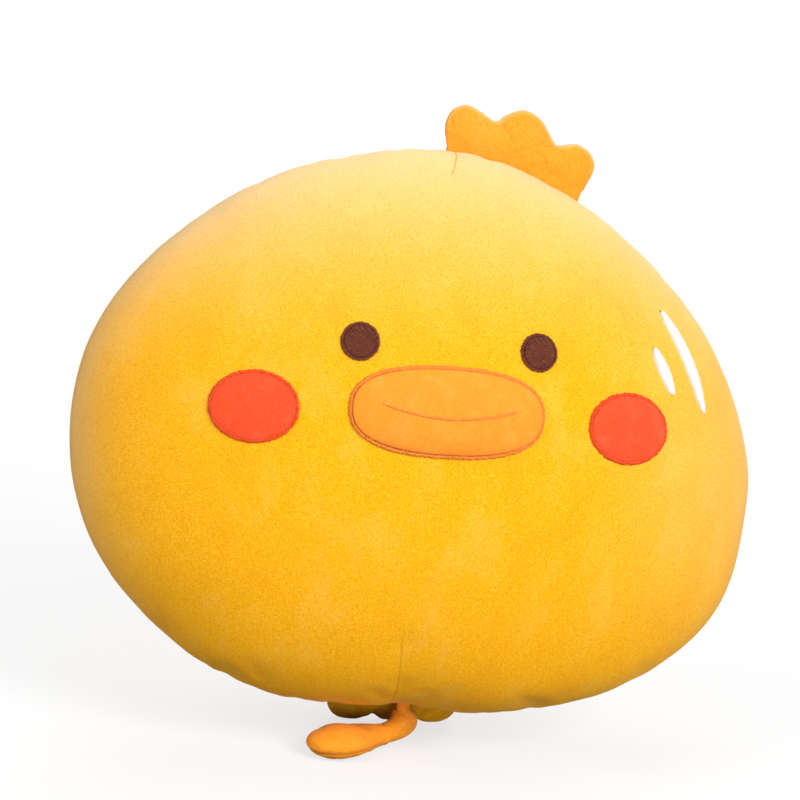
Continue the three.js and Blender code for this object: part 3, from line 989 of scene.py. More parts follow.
class FrontCloth:
    """The front panel's outside as it ended, read as a height over the seam's plane."""

    # Lowest corner of the part that is sampled, and where the rays towards it start
    low = np.array([-168.0, -126.0])
    ahead = -400.0

    def __init__(self, shape: BodyShape, panel: bpy.types.Object, step: float = 1.5) -> None:
        """Samples the panel.

        Args:
            shape: The body.
            panel: The finished front panel.
            step: Distance between samples, in millimetres.
        """
        self.step = step
        local = shape.local(Bench.points(panel))
        tree = BVHTree.FromPolygons(local.tolist(), [tuple(p.vertices) for p in panel.data.polygons])
        counts = np.ceil(-2 * self.low / step).astype(int) + 1
        self.heights = np.zeros(counts)
        for i in range(counts[0]):
            for k in range(counts[1]):
                x, z = self.low[0] + i * step, self.low[1] + k * step
                hit = tree.ray_cast(Vector((x, self.ahead, z)), Vector((0.0, 1.0, 0.0)))[0]
                self.heights[i, k] = hit.y if hit else 0.0

    def height(self, x: Array, z: Array) -> Array:
        """Where the cloth is in y at places across and up."""
        i = np.clip((x - self.low[0]) / self.step, 0, self.heights.shape[0] - 1.001)
        k = np.clip((z - self.low[1]) / self.step, 0, self.heights.shape[1] - 1.001)
        i0, k0 = i.astype(int), k.astype(int)
        a, b = i - i0, k - k0
        h = self.heights
        low = h[i0, k0] * (1 - a) + h[i0 + 1, k0] * a
        high = h[i0, k0 + 1] * (1 - a) + h[i0 + 1, k0 + 1] * a
        return low * (1 - b) + high * b

    def normal(self, x: Array, z: Array, step: float = 2.5) -> Array:
        """The cloth's outward direction."""
        across = (self.height(x + step, z) - self.height(x - step, z)) / (2 * step)
        up = (self.height(x, z + step) - self.height(x, z - step)) / (2 * step)
        return unit(np.stack([across, -np.ones_like(across), up], axis=-1))

    def sewn(self, x: float, z: float) -> Place:
        """Places round a centre, as sewn flat there.

        Args:
            x: The centre's place across.
            z: And up.

        Returns:
            A function of right, up and lift that gives points in the body's frame.
        """
        cx, cz = np.array(x, dtype=float), np.array(z, dtype=float)
        out = self.normal(cx, cz)
        across = unit(np.array([-out[1], out[0], 0.0]))
        up = np.cross(out, across)

        def place(u: Array, v: Array, lift: Array) -> Array:
            px = cx + across[0] * u + up[0] * v
            pz = cz + across[2] * u + up[2] * v
            base = np.stack([px, self.height(px, pz), pz], axis=-1)
            return base + self.normal(px, pz) * np.asarray(lift)[..., None]

        return place


# ---- Face ----


@dataclass(frozen=True)
class Oval:
    """An oval outline; a power over 2 is squarer than an ellipse."""

    half_width: float
    half_tall: float
    power: float = 2.0

    def reach(self, angle: Array) -> Array:
        """Distance from the middle to the outline."""
        c = np.abs(np.cos(angle) / self.half_width) ** self.power
        s = np.abs(np.sin(angle) / self.half_tall) ** self.power
        return (c + s) ** (-1 / self.power)

    def even(self, pitch: float) -> tuple[Array, Array]:
        """Points that far apart along the outline, with their outward directions."""
        angle = np.linspace(0, 2 * math.pi, 1441)
        reach = self.reach(angle)
        line = np.stack([reach * np.cos(angle), reach * np.sin(angle)], axis=1)
        run = distance_run(line)
        count = int(round(run[-1] / pitch))
        points = resampled(line, run, np.arange(count) * run[-1] / count)
        return points, outward_of(points)


@dataclass
class Needle:
    """Lays stitches: one thread is modelled, and each stitch is a copy of it between two places."""

    bench: Bench
    shape: BodyShape
    sides: int = 6
    cuts: int = 3
    thread: Array = field(init=False)
    faces: list[list[int]] = field(init=False)
    wraps: Array = field(init=False)
    taper: Arch = Arch(0.35, 0.65, 0.4)
    flatness: float = 0.8
    uneven: float = 0.06
    # Millimetres to a unit of the thread's UV map, and by how much each stitch is shifted on it
    twist_length: float = 2.0
    twist_shift: float = 0.37

    def __post_init__(self) -> None:
        """Models the one thread as a short cylinder with cuts along it."""
        deselect()
        bpy.ops.mesh.primitive_cylinder_add(vertices=self.sides, radius=1.0, depth=1.0, end_fill_type="NGON")
        made = bpy.context.active_object
        bpy.ops.object.mode_set(mode="EDIT")
        bpy.ops.mesh.select_mode(type="EDGE")
        bpy.ops.mesh.select_all(action="DESELECT")
        bpy.ops.object.mode_set(mode="OBJECT")
        for edge in made.data.edges:
            a, b = (made.data.vertices[k].co for k in edge.vertices)
            edge.select = abs(a.z - b.z) > 0.5
        bpy.ops.object.mode_set(mode="EDIT")
        bpy.ops.mesh.subdivide(number_cuts=self.cuts)
        bpy.ops.mesh.select_mode(type="VERT")
        bpy.ops.object.mode_set(mode="OBJECT")
        self.thread = np.array([v.co for v in made.data.vertices])
        self.faces = [list(p.vertices) for p in made.data.polygons]
        self.wraps = np.array([loop.vertex_index for loop in made.data.loops])
        bpy.data.objects.remove(made)

    def sew(
        self,
        name: str,
        place: Place,
        starts: Array,
        ends: Array,
        crest: Arch,
        width: float,
        thread: Finish,
        stands_for: Sequence[str],
    ) -> None:
        """Sews stitches side by side onto the body.

        Args:
            name: The piece's name.
            place: Where right, up and lift are on the cloth.
            starts: First end of each stitch.
            ends: Second end of each stitch.
            crest: Lift of the thread's middle at a share of its length.
            width: The thread's half width.
            thread: The thread's finish.
            stands_for: The solids that the stitches replace.
        """
        count = len(starts)
        share = self.thread[:, 2] + 0.5
        along = ends - starts
        length = np.linalg.norm(along, axis=1, keepdims=True)
        beside = -to_right(along) / length
        thin = self.taper(share) * width
        flat = starts[:, None] + along[:, None] * share[None, :, None]
        flat = flat + beside[:, None] * (thin * self.thread[:, 0])[None, :, None]
        uneven = self.bench.chance.uniform(-self.uneven, self.uneven, (count, 1))
        lift = crest(share)[None] + (self.flatness * thin * self.thread[:, 1])[None] + uneven
        points = place(flat[..., 0], flat[..., 1], lift).reshape(-1, 3)
        faces = [[len(share) * k + i for i in face] for k in range(count) for face in self.faces]
        piece = self.bench.mesh(name, self.shape.world(points), faces)
        layer = piece.data.uv_layers.new(name="thread")
        turn = (np.arctan2(self.thread[:, 1], self.thread[:, 0]) / (2 * math.pi) + 0.5)[self.wraps]
        runs = share[self.wraps][None] * length / self.twist_length
        runs = runs + np.arange(count)[:, None] * self.twist_shift
        uv = np.stack([runs, np.broadcast_to(turn, runs.shape)], axis=-1)
        layer.data.foreach_set("uv", uv.astype(np.float32).ravel())
        self.bench.finish(piece, "body", thread, stands_for)


@dataclass
class Cutting:
    """A round of cloth or padding cut to an outline, with a top, a bottom and rings towards its middle."""

    name: str
    outline: Oval
    sides: int
    rings: int

    def build(
        self,
        needle: Needle,
        place: Place,
        top: Callable[[Array], Array],
        bottom: float,
        size: float,
        hem: float,
    ) -> bpy.types.Object:
        """Cuts the round and lays it on the body.

        Args:
            needle: The needle, with the bench and the body.
            place: Where right, up and lift are on the cloth.
            top: Lift of its top at a share of the way out to the outline.
            bottom: Lift of its bottom.
            size: Its size as a share of the outline's.
            hem: How far past the outline it goes.

        Returns:
            The piece.
        """
        piece = self.round()
        points = needle.bench.points(piece) * MM
        share = np.hypot(points[:, 0], points[:, 1])
        angle = np.arctan2(points[:, 1], points[:, 0])
        reach = size * (self.outline.reach(angle) + hem) * share
        lift = np.where(points[:, 2] > 0.5, top(size * share), bottom)
        places = place(reach * np.cos(angle), reach * np.sin(angle), lift)
        needle.bench.move(piece, needle.shape.world(places))
        needle.bench.outwards(piece)
        return piece

    def round(self) -> bpy.types.Object:
        """Models a round of radius 1 m, whose top lies 1 m over its bottom."""
        deselect()
        bpy.ops.mesh.primitive_circle_add(vertices=self.sides, radius=1.0, fill_type="NGON")
        piece = bpy.context.active_object
        piece.name = self.name
        bpy.ops.object.mode_set(mode="EDIT")
        bpy.ops.mesh.select_all(action="SELECT")
        bpy.ops.mesh.extrude_region_move(TRANSFORM_OT_translate={"value": (0.0, 0.0, 1.0)})
        stops = np.sin(np.linspace(0, math.pi / 2, self.rings + 1))[::-1]
        for outer, inner in zip(stops[:-1], stops[1:-1]):
            bpy.ops.mesh.inset(thickness=float(outer - inner), use_even_offset=False)
        bpy.ops.mesh.poke()
        bpy.ops.object.mode_set(mode="OBJECT")
        return piece


@dataclass
class Patch:
    """A sewn-on patch of cloth, puffed a little, with a border of satin stitches."""

    name: str
    nodes: str
    x: float
    z: float
    outline: Oval
    border: float
    puff: float
    cloth: Finish
    thread: Finish
    cover: str = "patch"
    fill: Optional[float] = None
    edge_lift: float = 0.9
    sunk: float = -0.8
    hem: float = 0.5
    pitch: float = 1.15
    sides: int = 112
    rings: int = 9
    # Lift of the border's stitches, how far they lean, and how unevenly they end
    border_crest: Arch = Arch(-0.4, 1.65, 0.45)
    lean: float = 0.35
    jitter: float = 0.3
    # How far they reach in past the outline and out past the border, and half their width over the pitch
    overlap: tuple[float, float] = (0.15, 0.35)
    closeness: float = 0.57

    def lift(self, share: Array) -> Array:
        """Lift of the patch's top at a share of the way out."""
        return self.edge_lift + self.puff * crown(0.97 * share)

    def build(self, needle: Needle, front: FrontCloth) -> None:
        """Builds the patch and its border.

        Args:
            needle: The needle, with the bench and the body.
            front: The front panel's outside.
        """
        place = front.sewn(self.x, self.z)
        patch = Cutting(self.name, self.outline, self.sides, self.rings)
        piece = patch.build(needle, place, self.lift, bottom=self.sunk, size=1.0, hem=self.hem)
        needle.bench.finish(piece, "body", self.cloth, [f"{self.nodes}_{self.cover}"], self.fill)
        points, outward = self.outline.even(self.pitch)
        jitter = needle.bench.chance.uniform(-self.jitter, self.jitter, (2, len(points), 1))
        slant = -to_right(outward) * self.lean
        inside, outside = self.overlap
        needle.sew(
            f"{self.name}_border",
            place,
            points - outward * (inside + jitter[0]) - slant,
            points + outward * (self.border + outside + jitter[1]) + slant,
            self.border_crest,
            self.closeness * self.pitch,
            self.thread,
            [f"{self.nodes}_stitching"],
        )


@dataclass
class Eye(Patch):
    """A round patch that is filled with rows of short stitches, each row stepped from the last."""

    row_pitch: float = 0.52
    row_margins: tuple[float, float] = (0.5, 0.3)
    stitch: float = 3.0
    shortest: float = 0.5
    row_step: float = 0.37
    row_crest: Arch = Arch(1.2, 0.35)
    row_width: float = 0.33

    def build(self, needle: Needle, front: FrontCloth) -> None:
        """Builds the patch, its border and its rows."""
        super().build(needle, front)
        starts, ends = [], []
        radius = self.outline.half_width
        below, above = self.row_margins
        for row, v in enumerate(np.arange(-radius + below, radius - above, self.row_pitch)):
            half = math.sqrt(radius**2 - v**2)
            for cut in np.arange(-half - self.stitch * ((row * self.row_step) % 1), half, self.stitch):
                a, b = max(cut, -half), min(cut + self.stitch, half)
                if b - a > self.shortest:
                    starts.append((a, v))
                    ends.append((b, v))
        needle.sew(
            f"{self.name}_fill",
            front.sewn(self.x, self.z),
            np.array(starts),
            np.array(ends),
            self.row_crest,
            self.row_width,
            self.thread,
            [],
        )


@dataclass
class Face:
    """Eyes, cheeks, bill, mouth line and highlight on the front panel."""

    eye: Oval = Oval(8.6, 8.6)
    eye_spacing: float = 98.0
    eye_height: float = 50.0
    cheek: Oval = Oval(22.0, 17.0)
    cheek_spacing: float = 206.0
    cheek_height: float = 12.0
    bill: Oval = Oval(51.0, 22.0, 2.5)
    bill_height: float = 15.0
    bill_puff: float = 6.6
    # The padding's size as a share of the bill's, its height under the bill's cloth and that of its bottom
    padding: float = 0.84
    padding_top: float = -1.5
    padding_bottom: float = -0.4
    mouth_width: float = 72.0
    mouth_drop: float = 6.0
    mouth_stitches: int = 150
    # Half a stitch across the mouth line and along it, and the share of the line that tapers at each end
    mouth_stitch: tuple[float, float] = (0.95, 0.25)
    mouth_taper: float = 0.06
    mouth_crest: Arch = Arch(-0.35, 0.8)
    mouth_thread: float = 0.33
    shine_from_edge: float = 50.0
    shine_height: float = 52.0
    shine_length: float = 62.0
    shine_width: float = 11.0
    shine_step: float = 22.0
    shine_short: float = 0.45
    shine_curve: float = 95.0
    shine_tilt: float = math.radians(20)
    shine_pitch: float = 0.52
    # How unevenly a stroke's stitches end, how far they lean, their lift and half their width
    shine_jitter: float = 0.2
    shine_lean: float = 0.4
    shine_crest: Arch = Arch(-0.6, 2.5)
    shine_thread: float = 0.36

    def build(self, needle: Needle, front: FrontCloth) -> None:
        """Builds the face.

        Args:
            needle: The needle, with the bench and the body.
            front: The front panel's outside.
        """
        for side, sign in (("right", -1), ("left", 1)):
            Eye(
                name=f"brown_{side}_eye",
                nodes=f"{side}_eye",
                x=sign * self.eye_spacing / 2,
                z=self.eye_height,
                outline=self.eye,
                border=1.9,
                puff=0.6,
                cloth=Finish.BROWN_FELT,
                thread=Finish.BROWN_THREAD,
                pitch=0.8,
                sides=56,
                rings=4,
            ).build(needle, front)
            Patch(
                name=f"red_{side}_cheek",
                nodes=f"{side}_cheek",
                x=sign * self.cheek_spacing / 2,
                z=self.cheek_height,
                outline=self.cheek,
                border=2.6,
                puff=2.0,
                cloth=Finish.RED_FELT,
                thread=Finish.RED_THREAD,
            ).build(needle, front)
        bill = Patch(
            name="orange_bill",
            nodes="bill",
            x=0.0,
            z=self.bill_height,
            outline=self.bill,
            border=2.8,
            puff=self.bill_puff,
            cloth=Finish.ORANGE_FELT,
            thread=Finish.ORANGE_THREAD,
            cover="cover",
            fill=0.5,
            sides=176,
            rings=14,
        )
        bill.build(needle, front)
        place = front.sewn(bill.x, bill.z)
        pad = Cutting("fibre_bill_padding", self.bill, sides=48, rings=6).build(
            needle,
            place,
            lambda share: bill.lift(share) + self.padding_top,
            bottom=self.padding_bottom,
            size=self.padding,
            hem=0.0,
        )
        needle.bench.finish(pad, "body", Finish.FILLING, ["bill_padding"])
        self.mouth(needle, place, bill)
        for name, step, scale in (("long", 0.0, 1.0), ("short", self.shine_step, self.shine_short)):
            self.stroke(needle, front, name, self.shine_curve - step, scale * self.shine_length)

    def mouth(self, needle: Needle, place: Place, bill: Patch) -> None:
        """Stitches the mouth line across the bill: short slanted stitches along a sagging curve."""
        run = np.linspace(-1, 1, self.mouth_stitches)
        line = np.stack([run * self.mouth_width / 2, self.mouth_drop * (run**2 - 0.6)], axis=1)
        along = unit(np.gradient(line, axis=0))
        taper = np.clip((1 - np.abs(run)) / self.mouth_taper, 0.35, 1)[:, None]
        across, lean = self.mouth_stitch
        half = along * lean - to_right(along) * across * taper
        starts, ends = line - half, line + half

        def on_bill(u: Array, v: Array, lift: Array) -> Array:
            share = np.hypot(u, v) / self.bill.reach(np.arctan2(v, u))
            return place(u, v, lift + bill.lift(share))

        needle.sew(
            "orange_mouth_line",
            on_bill,
            starts,
            ends,
            self.mouth_crest,
            self.mouth_thread,
            Finish.ORANGE_THREAD,
            ["mouth_stitching"],
        )

    def stroke(self, needle: Needle, front: FrontCloth, name: str, radius: float, length: float) -> None:
        """Fills one curved stroke of the highlight with satin stitches across it.

        Args:
            needle: The needle, with the bench and the body.
            front: The front panel's outside.
            name: The stroke's name.
            radius: Radius of its curve.
            length: Its length.
        """
        place = front.sewn(needle.shape.width / 2 - self.shine_from_edge, self.shine_height)
        count = int(length / self.shine_pitch)
        along = np.linspace(-0.992, 0.992, count)
        half = self.shine_width / 2 * np.sqrt(1 - along**2)
        jitter = needle.bench.chance.uniform(-self.shine_jitter, self.shine_jitter, (2, count))
        angle = self.shine_tilt + along * (length / radius) / 2

        def at(out: Array, turn: float) -> Array:
            u = (radius + out) * np.cos(angle + turn) - self.shine_curve * math.cos(self.shine_tilt)
            v = (radius + out) * np.sin(angle + turn) - self.shine_curve * math.sin(self.shine_tilt)
            return np.stack([u, v], axis=1)

        slant = self.shine_lean / radius
        needle.sew(
            f"white_{name}_stroke",
            place,
            at(-half - jitter[0], -slant),
            at(half + jitter[1], slant),
            self.shine_crest,
            self.shine_thread,
            Finish.WHITE_THREAD,
            [f"shine_{name}"],
        )


# ---- Pads ----


@dataclass(frozen=True)
class LobedPad:
    """A flat stuffed pad with a lobed outline, sewn round its edge.

    corners are shares of width and rise, anticlockwise; creases are corners from which a fold runs inwards.
    """

    name: str
    corners: tuple[tuple[float, float], ...]
    width: float
    rise: float
    thickness: float
    middle: tuple[float, float]
    creases: tuple[tuple[float, float], ...]
    inflation: Inflation
    seam_thickness: float = 0.0
    drawn_in: float = 1.0
    voxel: float = 1.5
    base: float = 0.0
    gathers: float = 0.0
    outset: float = -0.45
    seam_depth: float = 0.55
    # Share of the thickness lost in a fold, its length, its half width and how fast that grows along it
    fold_depth: float = 0.2
    fold_length: float = 10.0
    fold_width: float = 1.0
    fold_widening: float = 0.1
    # Points round the edge and rings out to it, of the cover and of the filling
    cover_grid: tuple[int, int] = (160, 12)
    filling_grid: tuple[int, int] = (48, 6)

    def outline(self, count: int) -> Array:
        """Points evenly spaced round the outline, on a smooth curve through its corners."""
        knots = np.array(self.corners) * np.array([self.width, self.rise])
        line = curve_through(np.concatenate([knots[-1:], knots, knots[:2]]), cuts=24, power=0.5)
        closed = np.concatenate([line, line[:1]])
        run = distance_run(closed)
        return resampled(closed, run, np.arange(count) * run[-1] / count)

    def half(self, height: Array, share: Array, inset: float) -> Array:
        """Half the pad's thickness at heights and shares of the way out."""
        drawn = np.ones_like(height)
        if self.seam_thickness:
            root = self.seam_thickness / self.thickness
            drawn = root + (1 - root) * smooth(height / self.drawn_in)
        return (self.thickness / 2 * drawn - inset) * crown(share)

    def shell(self, bench: Bench, name: str, inset: float, sides: int, rings: int) -> bpy.types.Object:
        """Makes the closed pad, in its own frame.

        Args:
            bench: The bench.
            name: Its name.
            inset: How far inside the outline it ends.
            sides: Points round its edge.
            rings: Rings from its middle to its edge.

        Returns:
            The piece, with its faces outwards.
        """
        outline = self.outline(sides)
        outline = outline - outward_of(outline) * inset
        out = np.sin(np.linspace(0, math.pi / 2, rings + 1))
        share = np.concatenate([out, out[-2::-1]])[:, None]
        side = np.repeat([-1, 1], [rings + 1, rings])[:, None]
        at = np.array(self.middle) + (outline - np.array(self.middle)) * share[..., None]
        points = np.stack([at[..., 0], side * self.half(at[..., 1], share, inset), at[..., 1]], axis=-1)
        return bench.closed(name, points[1:-1], points[[0, -1], 0])

    def build(self, bench: Bench) -> bpy.types.Object:
        """Builds the cover in the pad's own frame: remeshed, inflated, then seamed and creased."""
        cover = self.shell(bench, self.name, self.outset, *self.cover_grid)
        bench.modify(cover, "REMESH", mode="VOXEL", voxel_size=self.voxel * MM, adaptivity=0.0)
        bench.modify(cover, "SMOOTH", factor=0.5, iterations=4)
        points = bench.points(cover)
        low = points[:, 2].min()
        held = np.maximum(hump(points[:, 1], 1.1), smooth((low + self.base + 4 - points[:, 2]) / 4))
        self.inflation.run(bench, cover, held)
        bench.subdivide(cover)
        points = bench.points(cover)
        edge = self.to_edge(points)
        by_edge = smooth((4.0 - edge) / 2.0)
        seam = hump(points[:, 1], 0.55) * by_edge
        depth = self.seam_depth * hump(points[:, 1], 0.8) * by_edge
        points[:, [0, 2]] -= unit(points[:, [0, 2]] - np.array(self.middle)) * depth[:, None]
        sink = self.folds(points)
        points[:, 1] *= 1 - sink
        bench.move(cover, points)
        # The seam mark also darkens the folds and the gathers at the base: painted shade in the creases
        bench.mark(cover, "seam", np.clip(0.55 * seam + 0.5 * sink, 0, 1))
        # Painted sheen: a pale rim along the upper edges, where light from above would catch the pile
        high = smooth((points[:, 2] - 0.2 * self.rise) / (0.5 * self.rise))
        bench.mark(cover, "painted_sheen", 0.5 * hump(np.maximum(edge, 0), 1.6) * (1 - seam) * high)
        return cover

    def to_edge(self, points: Array) -> Array:
        """Distance of each point from the outline, seen from the front."""
        outline = self.outline(self.cover_grid[0])
        gaps = points[:, None, [0, 2]] - outline[None]
        return np.sqrt((gaps**2).sum(axis=2)).min(axis=1)

    def folds(self, points: Array) -> Array:
        """Share of the thickness lost in the folds at the notches and in the gathers of the base."""
        sink = np.zeros(len(points))
        middle = np.array(self.middle)
        for corner in self.creases:
            notch = np.array(corner) * np.array([self.width, self.rise])
            inward = unit(middle - notch)
            gap = points[:, [0, 2]] - notch
            along = gap @ inward
            beside = np.abs(gap @ np.array([-inward[1], inward[0]]))
            wide = self.fold_width + self.fold_widening * np.clip(along, 0, 30)
            fold = self.fold_depth * hump(beside, wide) * smooth(1 - along / self.fold_length)
            sink = np.maximum(sink, fold * (along > -4))
        if self.gathers:
            wave = 0.5 + 0.5 * np.sin(points[:, 0] * 0.62 + 1.1 * np.sin(points[:, 0] * 0.21))
            sink = sink + self.gathers * wave * smooth((self.base + 11 - points[:, 2]) / 11)
        return sink


@dataclass
class Comb:
    """The three-lobed comb on the top seam."""

    offset: float = 53.0
    inset: float = 2.5
    fill: float = 0.7
    pad: LobedPad = LobedPad(
        name="orange_comb",
        corners=(
            *((0.47, -0.45), (0.494, -0.02), (0.516, 0.36), (0.512, 0.56), (0.448, 0.735), (0.355, 0.775)),
            *((0.285, 0.69), (0.235, 0.64), (0.15, 0.82), (0.07, 0.97), (-0.045, 1.0), (-0.126, 0.85)),
            *((-0.19, 0.66), (-0.33, 0.735), (-0.412, 0.745), (-0.478, 0.585), (-0.486, 0.29)),
            *((-0.464, 0.12), (-0.436, -0.04), (-0.428, -0.3), (0.0, -0.3)),
        ),
        width=88.0,
        rise=33.8,
        thickness=14.0,
        middle=(0.0, 10.14),
        creases=((0.235, 0.64), (-0.19, 0.66)),
        inflation=Inflation(pressure=6.0, slack=0.03, cap=2.0, stiffness=12.0, bending=0.3),
        seam_thickness=5.5,
        drawn_in=14.0,
        voxel=1.2,
        base=12.0,
        gathers=0.05,
    )

    def build(self, bench: Bench, shape: BodyShape) -> None:
        """Builds cover and filling, and turns them onto the seam."""
        cover = self.pad.build(bench)
        filling = self.pad.shell(bench, "fibre_comb_filling", self.inset, *self.pad.filling_grid)
        middle, out = self.seat(shape)
        start, end = (shape.world(middle + out * far) * MM for far in (-1.0, 8.0))
        for piece in (cover, filling):
            bench.move(piece, self.seated(shape, bench.points(piece)))
        bench.finish(cover, None, Finish.ORANGE_PLUSH, ["comb_cover"], self.fill)
        bench.finish(filling, None, Finish.FILLING, ["comb_filling"], self.fill)
        for piece in (cover, filling):
            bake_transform(piece)

    def seat(self, shape: BodyShape) -> tuple[Array, Array]:
        """The comb's middle on the seam and the way out of the body there."""
        angle = np.array(math.acos(self.offset / (shape.width / 2)))
        before, middle, after = (shape.points(angle + turn, np.array(1.0), 0) for turn in (0.01, 0, -0.01))
        along = unit(after - before)
        return middle, np.array([-along[2], 0.0, along[0]])

    def seated(self, shape: BodyShape, points: Array) -> Array:
        """Takes points from the comb's frame to the toy's."""
        middle, out = self.seat(shape)
        along = np.array([out[2], 0.0, -out[0]])
        places = middle + points[:, :1] * along + points[:, 1:2] * np.array([0, 1, 0]) + points[:, 2:] * out
        return shape.world(places)


@dataclass
class Tail:
    """The three-lobed fan behind the body's underside, which the toy rests on."""

    back: float = 17.0
    side: float = 7.3
    slope: float = math.radians(16)
    sink: float = 0.5
    inset: float = 2.4
    fill: float = 0.6
    # Height from which the part inside the body is squeezed, and how much of it is left
    hidden_from: float = 36.0
    hidden_share: float = 0.25
    pad: LobedPad = LobedPad(
        name="yellow_tail",
        corners=(
            *((0.0, 0.0), (0.1, 0.03), (0.155, 0.08), (0.2, 0.04), (0.325, 0.0), (0.45, 0.05), (0.5, 0.17)),
            *((0.46, 0.36), (0.38, 0.62), (0.33, 0.9), (-0.33, 0.9), (-0.38, 0.62), (-0.46, 0.36)),
            *((-0.5, 0.17), (-0.45, 0.05), (-0.325, 0.0), (-0.2, 0.04), (-0.155, 0.08), (-0.1, 0.03)),
        ),
        width=76.0,
        rise=66.0,
        thickness=15.0,
        middle=(0.0, 23.1),
        creases=((0.155, 0.08), (-0.155, 0.08)),
        inflation=Inflation(pressure=5.0, slack=0.02, cap=1.2, stiffness=14.0, bending=0.3),
        base=-99.0,
    )

    def build(self, bench: Bench, shape: BodyShape) -> None:
        """Builds cover and filling; what would lie far inside the body is squeezed."""
        cover = self.pad.build(bench)
        filling = self.pad.shell(bench, "fibre_tail_filling", self.inset, *self.pad.filling_grid)
        for piece in (cover, filling):
            points = bench.points(piece)
            past = points[:, 2] - self.hidden_from
            points[:, 2] = np.where(past > 0, self.hidden_from + self.hidden_share * past, points[:, 2])
            bench.move(piece, self.seated(points, shape))
        bench.finish(cover, "body", Finish.YELLOW_PLUSH, ["tail_cover"], self.fill)
        bench.finish(filling, "body", Finish.FILLING, ["tail_filling"], self.fill)

    def seated(self, points: Array, shape: BodyShape) -> Array:
        """Takes points from the tail's frame to the toy's and flattens them on the floor."""
        placed = tilted(points, self.slope) + np.array([self.side + shape.middle[0], self.back, -self.sink])
        placed[:, 2] = np.maximum(placed[:, 2], 0.0)
        return placed


# ---- Leg and foot ----


